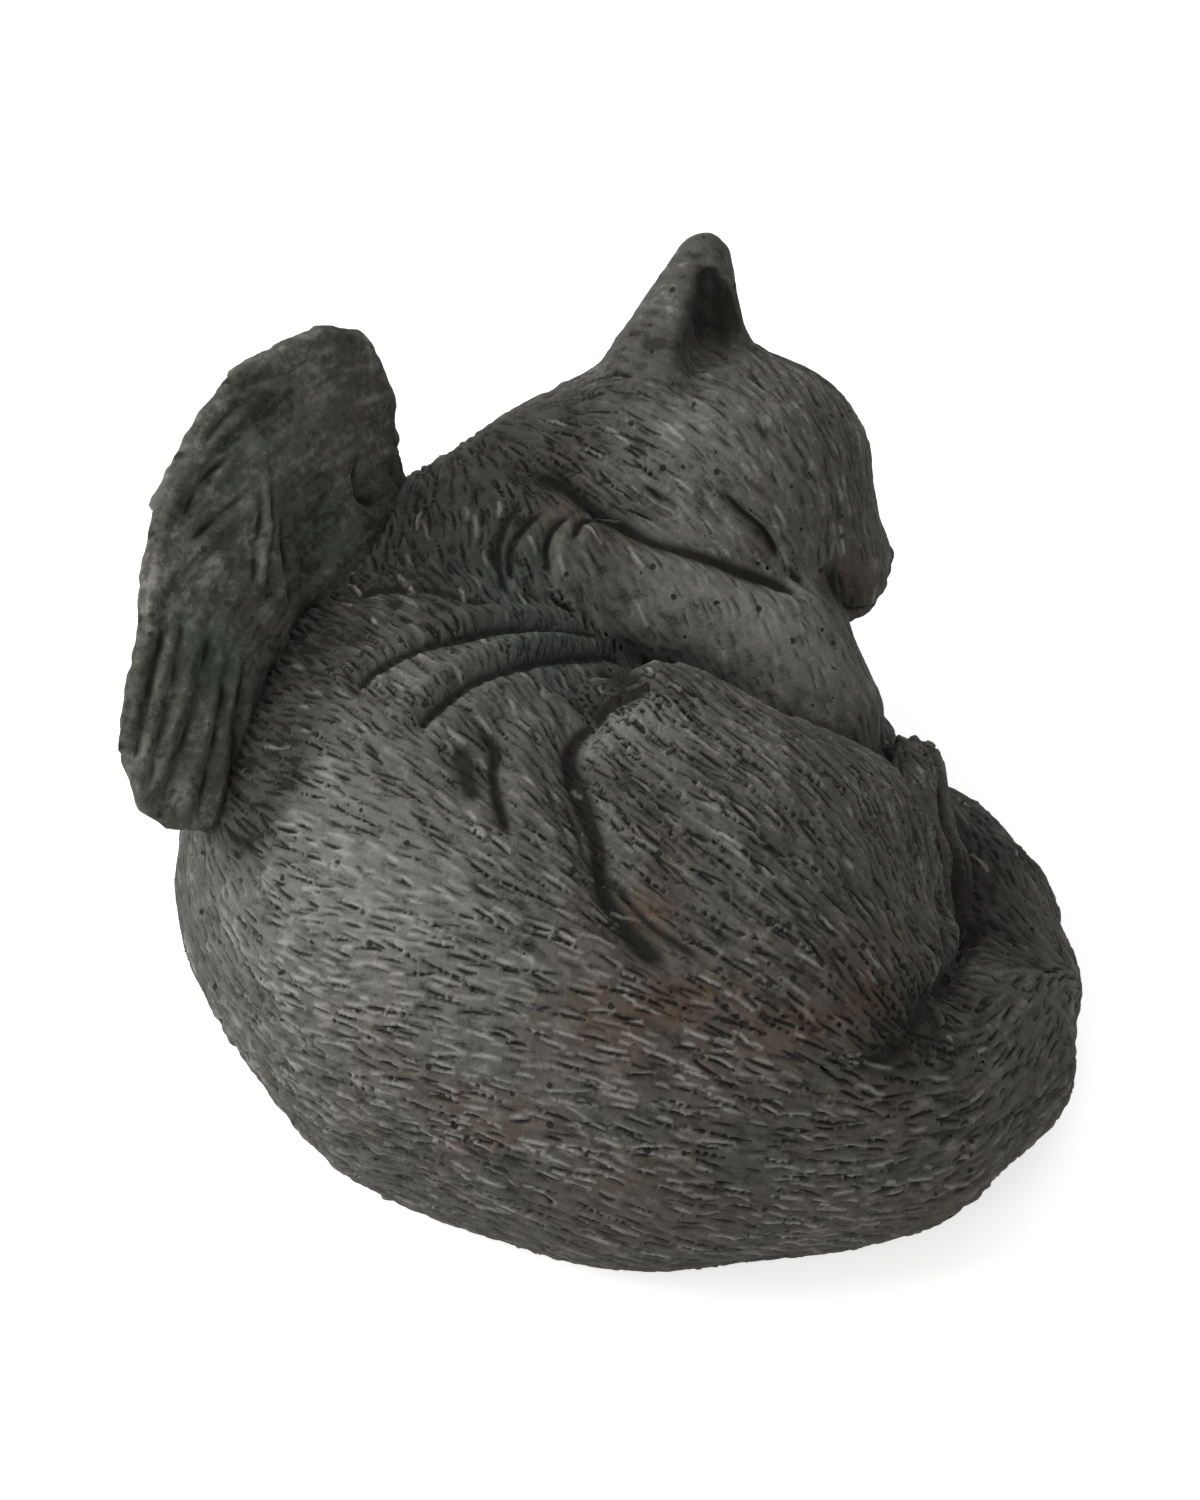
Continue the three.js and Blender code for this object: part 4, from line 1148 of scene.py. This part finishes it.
def makeStoneGroup():
    tree = bpy.data.node_groups.new("castStone", "ShaderNodeTree")
    for name, value in (("Body", (0.1, 0.1, 0.1, 1)), ("WashAndShade", (0.01, 0.01, 0.01, 1)), ("WornAndLit", (0.3, 0.3, 0.3, 1)),
                        ("Moss", (0.05, 0.07, 0.06, 1)), ("Earth", (0.07, 0.05, 0.04, 1))):
        addSocket(tree, name, "Color", value)
    for name, value in (("Mottle", 0.4), ("Speckle", 0.4), ("Pits", 1.0), ("Hair", 0.5)):
        addSocket(tree, name, "Float", value)
    for name, kind in (("Color", "Color"), ("Roughness", "Float"), ("Height", "Float")):
        addSocket(tree, name, kind, way="OUTPUT")
    given = addNode(tree, "NodeGroupInput").outputs
    where = addNode(tree, "ShaderNodeTexCoord").outputs["Object"]

    def mask(name):
        return addNode(tree, "ShaderNodeAttribute", attribute_name=name, attribute_type="GEOMETRY").outputs["Fac"]

    def times(a, b, clamp=False):
        return mathNode(tree, "MULTIPLY", a, b, clamp)

    def plus(a, b, clamp=False):
        return mathNode(tree, "ADD", a, b, clamp)

    def less(a, b):
        return mathNode(tree, "SUBTRACT", a, b)

    mottle = noiseNode(tree, where, 55.0, 3.0)
    speckle = noiseNode(tree, where, 420.0, 3.0, 0.6)
    grain = noiseNode(tree, where, 1500.0, 2.0)
    cells = addNode(tree, "ShaderNodeTexVoronoi", {"Vector": where, "Scale": 330.0, "Randomness": 1.0})
    chance = addNode(tree, "ShaderNodeSeparateColor", {0: cells.outputs["Color"]}).outputs[0]
    size = rangeNode(tree, chance, 0.86, 1.0, 0.0, 0.3)
    pit = times(rangeNode(tree, less(cells.outputs["Distance"], size), 0.06, -0.04), given["Pits"])

    tone = times(less(mottle, 0.5), given["Mottle"])
    tone = plus(tone, times(less(speckle, 0.5), given["Speckle"]))
    tone = plus(tone, times(less(grain, 0.5), 0.5))
    tone = plus(tone, times(mask("streak"), times(given["Hair"], 0.2)))
    light = rangeNode(tree, tone, 0.0, 0.55)
    dark = rangeNode(tree, tone, 0.0, -0.5)
    colour = mixNode(tree, times(light, 0.42), given["Body"], given["WornAndLit"])
    # pale wear and painted light
    colour = mixNode(tree, times(mask("pale"), 0.4, True), colour, given["WornAndLit"])
    colour = mixNode(tree, times(mask("green"), 0.55, True), colour, given["Moss"])
    loose = plus(times(rangeNode(tree, mottle, 0.42, 0.62), 0.7), 0.4)
    colour = mixNode(tree, times(mask("brown"), loose, True), colour, given["Earth"])

    # painted shade and wash in the hollows
    deepShade = times(mathNode(tree, "POWER", mask("hollowWashAndShade"), 1.6), 0.95)
    washAndShade = times(dark, 0.75)
    # the darker random tone, painted shade in the fur strokes and cut grooves, grime with painted shadow and the
    # shaded hollows all darken towards one dark colour
    washAndShade = mathNode(tree, "MAXIMUM", washAndShade, rangeNode(tree, mask("strokeShade"), 0.2, 1.0, 0.0, 0.9))
    washAndShade = mathNode(tree, "MAXIMUM", washAndShade, rangeNode(tree, mask("creaseShade"), 0.2, 0.85))
    washAndShade = plus(plus(washAndShade, times(mask("grime"), 0.7)), deepShade, True)
    colour = mixNode(tree, washAndShade, colour, given["WashAndShade"])
    colour = mixNode(tree, times(mask("worn"), 0.75, True), colour, given["WornAndLit"])
    # painted shade inside the pits
    colour = mixNode(tree, times(pit, 0.9, True), colour, given["WashAndShade"])

    rough = plus(times(speckle, 0.2), 0.78, True)
    height = less(plus(times(grain, 0.35), times(speckle, 0.5)), times(pit, 1.1))
    result = addNode(tree, "NodeGroupOutput")
    for socket, value in zip(("Color", "Roughness", "Height"), (colour, rough, height)):
        tree.links.new(value, result.inputs[socket])
    return tree


stoneGroup = makeStoneGroup()


def stoneMaterial(name, values):
    material = bpy.data.materials.new(name)
    material.use_nodes = True
    tree = material.node_tree
    shader = tree.nodes["Principled BSDF"]
    stone = addNode(tree, "ShaderNodeGroup")
    stone.node_tree = stoneGroup
    for key, value in values.items():
        stone.inputs[key].default_value = value
    bump = addNode(tree, "ShaderNodeBump", {"Strength": 0.7, "Distance": 0.0009, "Height": stone.outputs["Height"]})
    tree.links.new(stone.outputs["Color"], shader.inputs["Base Color"])
    tree.links.new(stone.outputs["Roughness"], shader.inputs["Roughness"])
    tree.links.new(bump.outputs[0], shader.inputs["Normal"])
    shader.inputs["Specular IOR Level"].default_value = 0.25
    return material


bodyStone = stoneMaterial("bodyStone", {
    "Body": (0.086, 0.085, 0.076, 1), "WashAndShade": (0.011, 0.0105, 0.008, 1), "WornAndLit": (0.4, 0.39, 0.355, 1),
    "Moss": (0.045, 0.062, 0.052, 1), "Earth": (0.088, 0.064, 0.046, 1),
    "Mottle": 0.8, "Speckle": 0.9, "Pits": 1.0, "Hair": 0.7})
wingStone = stoneMaterial("wingStone", {
    "Body": (0.074, 0.074, 0.062, 1), "WashAndShade": (0.011, 0.011, 0.008, 1), "WornAndLit": (0.36, 0.36, 0.32, 1),
    "Moss": (0.04, 0.065, 0.048, 1), "Earth": (0.088, 0.062, 0.042, 1),
    "Mottle": 1.7, "Speckle": 1.5, "Pits": 0.6, "Hair": 0.7})


steelLook = {"colour": (0.6, 0.61, 0.62), "darker": 0.8, "roughness": 0.35, "uneven": 0.1, "drawn": (900, 900, 60)}


def steelMaterial(name, look):
    material = bpy.data.materials.new(name)
    material.use_nodes = True
    tree = material.node_tree
    shader = tree.nodes["Principled BSDF"]
    where = addNode(tree, "ShaderNodeTexCoord").outputs["Object"]
    drawn = addNode(tree, "ShaderNodeMapping", {"Vector": where, "Scale": look["drawn"]}).outputs[0]
    tone = noiseNode(tree, drawn, 1.0, 3.0)
    colour = look["colour"]
    darker = tuple(part * look["darker"] for part in colour)
    rough = rangeNode(tree, tone, 0.2, 0.8, look["roughness"] - look["uneven"], look["roughness"] + look["uneven"])
    tree.links.new(mixNode(tree, tone, (*darker, 1), (*colour, 1)), shader.inputs["Base Color"])
    tree.links.new(rough, shader.inputs["Roughness"])
    shader.inputs["Metallic"].default_value = 1.0
    return material


steel = steelMaterial("dowelSteel", steelLook)


# Pieces

def meshFrom(name, places, polygons, normals, attributes):
    used, corners = np.unique(np.concatenate([np.ravel(p) for p in polygons]), return_inverse=True)
    counts = np.concatenate([np.full(len(p), p.shape[1]) if isinstance(p, np.ndarray) else [len(p)]
                             for p in polygons])
    mesh = newMesh(name, places[used] + origin, corners, counts)
    mesh.polygons.foreach_set("use_smooth", np.ones(len(counts), bool))
    for key, values in attributes.items():
        storeOn(mesh, key, values[used])
    mesh.update(calc_edges=True)
    mesh.validate()
    if normals is not None:
        mesh.normals_split_custom_set_from_vertices(normals[used].astype(np.float32).tolist())
    return mesh


def addPiece(name, mesh, material, *nodes):
    piece = addObject(name, mesh)
    mesh.materials.append(material)
    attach(piece, "root")
    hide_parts(*nodes)


for n, name in enumerate(partNames):
    polygons = [skinFaces[skinOwners == n + 1]] + coarseFaces[n + 1]
    mesh = meshFrom(name, finalPlaces, polygons, finalNormals, skinMasks)
    addPiece(name if name != partNodes[name] else name + "_stone", mesh, bodyStone, partNodes[name])
print("pieces parted")


# Wings

wingBlade = {
    "thickness": 17,
    "tipThickness": 13,
    "seat": 12,
    "alongSteps": 250,
    "upSteps": 126,
    "crestSteps": 10,
    "crestWidth": 0.2,  # share of the thickness, squared, that is left at the crest
    "crestHeight": 0.8,
}
feathers = {  # rows of feathers from the root on: start, length, width, thickness, all along or up the blade
    "scales": [(start, 15.0, 9.5, 1.7) for start in (-6, 3, 12, 21, 30, 39)],
    "coverts": [(42, 34.0, 11.5, 2.2)],
    "primaries": [(60, 90.0, 10.5, 1.9)],
    "fan": 0.1,  # how much they turn up towards the tip
    "uneven": 0.12,  # share by which their lengths differ
    "tip": 0.55,
    "top": 0.9,  # rise of the first row, and how much less each next one has
    "drop": 0.12,
    "camber": 0.55,
    "shaft": (0.3, 0.1),  # height and half width
    "barbs": (1.9, 0.12),  # pitch and depth
    "edgeFrom": 0.78,
    "left": 0.28,  # what the drawn lines leave of them on the face that the picture shows
}
wingWaves = {  # height and size of the unevenness, its seed, and whether it is drawn out along the feathers
    "wide": (0.45, 14, 21, False),
    "fine": (0.35, 3, 22, False),
    "ridges": (0.8, 3.6, 23, True),
    "streaks": (0.25, 1.15, 24, True),
    "flow": (0.22, 1, 4),
    "broken": (5, 25),
}
wingLines = [  # as bodyLines
    (1.5, 1.2, 0.8, 0.6, 3.4, 1, [(258, 478), (256, 520), (252, 560), (247, 602)]),
    (1.5, 1.2, 0.8, 0.8, 3.4, 1, [(269, 480), (271, 530), (269, 575), (266, 614)]),
    (1.7, 1.3, 0.6, 0.9, 3.6, 1, [(280, 500), (285, 550), (292, 590), (297, 616)]),
    (2.0, 1.4, 0.8, 0.5, 4, 1, [(356, 450), (357, 480), (362, 497), (382, 508)]),
    (1.7, 1.5, 0.6, 0.5, 4, 1, [(337, 482), (326, 505), (321, 525), (328, 553)]),
    (1.2, 1.2, 0.8, 0.8, 3.6, 0.8, [(300, 372), (270, 378), (246, 386), (224, 402)]),
    (1.4, 1.1, 1.0, 0.5, 3.4, 1, [(262, 395), (240, 404), (222, 418), (207, 440), (198, 455)]),
    (1.0, 1.1, 0.9, 0.3, 3.2, 0.7, [(250, 424), (232, 434), (218, 452), (203, 463)]),
    (1.6, 1.1, 0.9, 0.4, 3.4, 1, [(236, 452), (212, 470), (197, 487), (186, 512), (180, 535)]),
    (1.6, 1.1, 1.0, 0.4, 3.4, 1, [(250, 490), (232, 505), (206, 528), (190, 541), (180, 546)]),
    (1.6, 1.1, 0.9, 0.5, 3.4, 1, [(228, 540), (205, 560), (187, 575), (174, 598)]),
    (2.6, 1.3, 0.8, 1.0, 3.6, 1, [(178, 575), (166, 608), (160, 640), (153, 670), (146, 705), (138, 745),
                                  (129, 785)]),
    (1.2, 1.1, 0.5, 0.5, 3, 1, [(186, 600), (178, 650), (168, 700), (156, 750), (146, 800)]),
    (2.3, 1.4, 0.9, 0.8, 4, 1, [(212, 625), (203, 670), (192, 715), (180, 760), (166, 795), (158, 822)]),
    (1.9, 1.2, 0.9, 0.8, 3.6, 1, [(230, 645), (221, 700), (212, 750), (203, 790), (197, 822)]),
    (1.6, 1.3, 0.6, 0.9, 3.6, 1, [(246, 650), (241, 700), (236, 750), (231, 800), (226, 826)]),
    (-2.2, 3.2, 0, 0, 5, 1, [(262, 440), (259, 500), (253, 560), (248, 604)]),
    # a broad recess beside the body, lightly darkened with painted shade
    (2.6, 9, 0, 0, 14, 0.4, [(318, 470), (312, 530), (310, 590)]),
    (1.6, 5, 0.4, 0.6, 9, 0.3, [(214, 440), (200, 500), (188, 570), (180, 640)]),
    # the deep cut along the wing's root, darkened as painted shadow from the wing
    (6.5, 6.5, 0, 0, 9, 1, [(335, 600), (305, 650), (280, 690), (268, 740), (258, 800), (248, 845)]),
]


def wingGrid(rows):
    blade = wingBlade
    feet, crests = wingEdges(rows)
    along = np.linspace(0, 1, blade["alongSteps"] + 1)
    foot, crest = curveThrough(feet, along), curveThrough(crests, along)
    ahead = unit(np.gradient(foot, axis=0))
    rise = unit(crest - foot)
    inward = unit(np.cross(rise, ahead))
    toEnd = np.minimum(np.minimum(along, 1 - along) * 8, 1)
    rounding = 0.25 + 0.75 * np.sqrt(1 - (1 - toEnd) ** 2)
    thickness = (blade["thickness"] + (blade["tipThickness"] - blade["thickness"]) * along) * rounding
    bottom = foot - rise * blade["seat"]
    top = bottom + (crest - bottom) * np.sqrt(rounding)[:, None]
    height = np.linalg.norm(top - bottom, axis=1)
    length = np.linalg.norm(np.diff((foot + crest) / 2, axis=0), axis=1).sum()
    rings, spots = [], []
    ups = np.linspace(0, 1, blade["upSteps"] + 1)
    for side, levels in ((-1, ups), (1, ups[::-1])):
        for up in levels:
            half = thickness / 2 * math.sqrt(1 - (1 - blade["crestWidth"]) * up**4)
            rings.append(bottom + (top - bottom) * up + inward * (side * half)[:, None])
            spots.append(np.stack([along * length, up * height, np.full(len(along), side)], 1))
        if side < 0:
            crestHalf = thickness / 2 * math.sqrt(blade["crestWidth"])
            for k in range(1, blade["crestSteps"]):
                angle = math.pi * k / blade["crestSteps"]
                rings.append(top - inward * (crestHalf * math.cos(angle))[:, None]
                             + rise * (crestHalf * blade["crestHeight"] * math.sin(angle))[:, None])
                spots.append(np.stack([along * length, height, np.full(len(along), -math.cos(angle))], 1))
    return np.stack(rings, 1), np.stack(spots, 1)


def featherRise(spots):
    along, up = spots[..., 0].ravel(), spots[..., 1].ravel()
    up = up - feathers["fan"] * along
    rise, edge, free = np.zeros(len(along)), np.zeros(len(along)), np.ones(len(along), bool)
    rows = feathers["scales"] + feathers["coverts"] + feathers["primaries"]
    shaft, shaftWidth = feathers["shaft"]
    pitch, depth = feathers["barbs"]
    for n, (start, length, width, thick) in enumerate(rows):
        across = up / width + (n % 2) * 0.5
        feather = np.floor(across)
        v = (across - feather) * 2 - 1
        reach = length * (1 + feathers["uneven"] * np.sin(feather * 2.4 + n))
        u = (along - start) / reach
        tip = 1 - width / reach * feathers["tip"] * (1 - np.sqrt(np.clip(1 - v * v, 0, 1)))
        inside = free & (u <= tip) & (u > -0.2)
        face = feathers["top"] - feathers["drop"] * n
        face = face + thick * (0.25 + 0.75 * np.clip(u, 0, 1)) * (1 - feathers["camber"] * v * v)
        face = face + shaft * np.exp(-((v / shaftWidth) ** 2))
        face = face - depth * (0.5 + 0.5 * np.sin((along + np.abs(v) * width * 0.8) * 2 * math.pi / pitch))
        rise = np.where(inside, face, rise)
        # painted shade along the sides of each feather, where it meets the next
        edge = np.where(inside, smoothStep(feathers["edgeFrom"], 1.0, np.abs(v)), edge)
        free &= ~inside
    return rise.reshape(spots.shape[:2]), edge.reshape(spots.shape[:2])


def gridNormals(grid):
    ahead = np.gradient(grid, axis=0)
    around = np.roll(grid, -1, 1) - np.roll(grid, 1, 1)
    up = unit(np.cross(around, ahead))
    return -up if np.einsum("ijk,ijk->ij", up, grid - grid.mean((0, 1))).mean() < 0 else up


def pixelsOf(p):
    q = p - lensPlace
    depth = (q @ lensAhead) / lensPixels
    return np.stack([lensMiddle[0] + q @ level / depth, lensMiddle[1] - q @ lensUp / depth], -1)


def seenOnWing(pixels, p, up):
    facing = np.einsum("ij,ij->i", up, unit(p - lensPlace)) < -0.05
    shown = np.flatnonzero(facing)
    on = pixelsOf(p[shown])
    return p[[shown[np.argmin(np.linalg.norm(on - pixel, axis=1))] for pixel in np.array(pixels, float)]]


def makeWing(name, rows):
    grid, spots = wingGrid(rows)
    up = gridNormals(grid)
    relief, edge = featherRise(spots)
    side, along = spots[..., 2], spots[..., 0] / spots[..., 0].max()
    fade = smoothStep(0, 0.04, along) * smoothStep(1, 0.97, along)
    seen = smoothStep(-0.2, 0.6, side) if name == "wing_right" else np.zeros_like(side)
    amount = fade * (1 - (1 - feathers["left"]) * seen)
    p, flat = grid.reshape(-1, 3), up.reshape(-1, 3)
    rise, creaseShade = (relief * amount).ravel(), (edge * amount).ravel()

    def onWing(line):
        near = [np.argmin(np.linalg.norm(p - spot, axis=1)) for spot in line]
        return line, flat[near]

    if name == "wing_right":
        lines = [(seenOnWing(row[-1], p, flat), formOfLine(row)) for row in wingLines]
        cut, lineShade = cutLines(p, lines, onWing)
        broken = 0.65 + 0.6 * noiseAt(p, *wingWaves["broken"])
        rise = rise + cut * np.clip(0.75 + 0.5 * broken, 0, 1.1)
        creaseShade = np.maximum(creaseShade, lineShade * np.clip(broken, 0, 1))
    flow = spots.reshape(-1, 3) * wingWaves["flow"]
    uneven = 0
    for key in ("wide", "fine", "ridges", "streaks"):
        height, size, seed, drawnOut = wingWaves[key]
        noise = noiseAt(flow if drawnOut else p, size, seed)
        uneven = uneven + height * noise
    rise += uneven
    final = p + flat * rise[:, None]
    # painted shade on the wing where the body stands close, darkest at its root
    hollowWashAndShade = np.clip(1 - skinField(final + flat * 6) / 8, 0, 1) * 0.8
    masks = {"hollowWashAndShade": hollowWashAndShade, "creaseShade": np.clip(creaseShade, 0, 1), "streak": 1.8 * noise,
             "worn": np.clip(rise - 2.0, 0, 1) * 0.3}
    return final.reshape(grid.shape), masks


wingSpots = {  # as patches
    "brown": [((235, 600), 7, 0.8), ((262, 620), 6, 0.6), ((246, 770), 8, 0.5), ((350, 420), 12, 0.4)],
    "green": [((225, 670), 12, 0.9), ((200, 640), 10, 0.5), ((330, 530), 10, 0.5), ((250, 460), 18, 0.4)],
    # pale wear, and painted highlights along the wing's lit left edge
    "pale": [((180, 792), 4.5, 1.0), ((250, 441), 3.5, 1.0), ((265, 612), 2.5, 1.0), ((188, 541), 2.5, 0.9),
             ((150, 760), 7, 0.3), ((300, 420), 12, 0.3)],
    # grime and painted shadow near the wing's root
    "grime": [((290, 590), 12, 0.6), ((365, 500), 10, 0.6), ((235, 690), 8, 0.4), ((330, 470), 16, 0.3)],
}


def wingPatches(surface, name):
    p = surface.reshape(-1, 3)
    if name != "wing_right":
        return {key: 0.5 * (0.5 + 0.5 * noiseAt(p, 22, 30 + n)) for n, key in enumerate(wingSpots)}
    flat = gridNormals(surface).reshape(-1, 3)
    return {key: patchMask(p, spots, seenOnWing([spot[0] for spot in spots], p, flat), 1)
            for key, spots in wingSpots.items()}


def loftFaces(rows, columns):
    index = np.arange(rows * columns).reshape(rows, columns)
    around = np.roll(index, -1, 1)
    return index, np.stack([index[:-1], around[:-1], around[1:], index[1:]], -1).reshape(-1, 4)


for name, rows in wingForms.items():
    surface, masks = makeWing(name, rows)
    index, sides = loftFaces(*surface.shape[:2])
    polygons = [sides[:, ::-1], index[0].tolist(), index[-1][::-1].tolist()]
    masks.update(wingPatches(surface, name))
    mesh = meshFrom(name, surface.reshape(-1, 3), polygons, None, masks)
    addPiece(name + "_stone", mesh, wingStone, name)
    print(name, "made,", len(sides) * 2, "triangles")

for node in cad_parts.values():
    if "dowel" in node.name:
        node.data.materials.clear()
        node.data.materials.append(steel)


# Studio

studio = {
    "world": 0.26,
    "floor": 0.82,
    "floorGlow": 0.66,
    "aim": (0, 0, 0.06),
    "lights": {  # place, size and power
        "keyLight": ((-1.2, -0.12, 0.75), 0.7, 13.5),
        "frontLight": ((-0.4, -1.2, 0.8), 1.0, 4.8),
        "backLight": ((0.4, 1.3, 0.8), 1.0, 3),
        "topLight": ((0.1, 0.2, 1.4), 0.9, 2.5),
    },
}


def addLight(name, place, size, power):
    light = bpy.data.lights.new(name, "AREA")
    light.size = size
    light.energy = power
    lamp = addObject(name, light)
    lamp.location = place
    lamp.rotation_euler = (Vector(studio["aim"]) - Vector(place)).to_track_quat("-Z", "Y").to_euler()


def whiteTo(tree, normal, strength):  # what the camera and mirrors see is white, what lights the statue is softer
    paths = addNode(tree, "ShaderNodeLightPath").outputs
    seen = mathNode(tree, "MAXIMUM", paths["Is Glossy Ray"], paths["Is Transmission Ray"])
    seen = mathNode(tree, "MAXIMUM", paths["Is Camera Ray"], seen)
    return mathNode(tree, "ADD", mathNode(tree, "MULTIPLY", seen, strength - normal), normal)


floorMesh = bpy.data.meshes.new("studioFloor")
floorMesh.from_pydata([(-4, -4, 0), (4, -4, 0), (4, 4, 0), (-4, 4, 0)], [], [(0, 1, 2, 3)])
paleFloor = bpy.data.materials.new("paleFloor")
paleFloor.use_nodes = True
floorTree = paleFloor.node_tree
floorShader = floorTree.nodes["Principled BSDF"]
floorShader.inputs["Base Color"].default_value = (*[studio["floor"]] * 3, 1)
floorShader.inputs["Roughness"].default_value = 0.9
floorShader.inputs["Emission Color"].default_value = (1, 1, 1, 1)
floorTree.links.new(whiteTo(floorTree, 0.0, studio["floorGlow"]), floorShader.inputs["Emission Strength"])
floorMesh.materials.append(paleFloor)
studioFloor = addObject("studioFloor", floorMesh)
world = bpy.data.worlds.new("studio")
world.use_nodes = True
background = world.node_tree.nodes["Background"]
background.inputs["Color"].default_value = (1, 1, 1, 1)
world.node_tree.links.new(whiteTo(world.node_tree, studio["world"], 1.0), background.inputs["Strength"])
bpy.context.scene.world = world
for name, light in studio["lights"].items():
    addLight(name, *light)
bpy.context.scene.view_settings.view_transform = "Standard"
print("studio made")
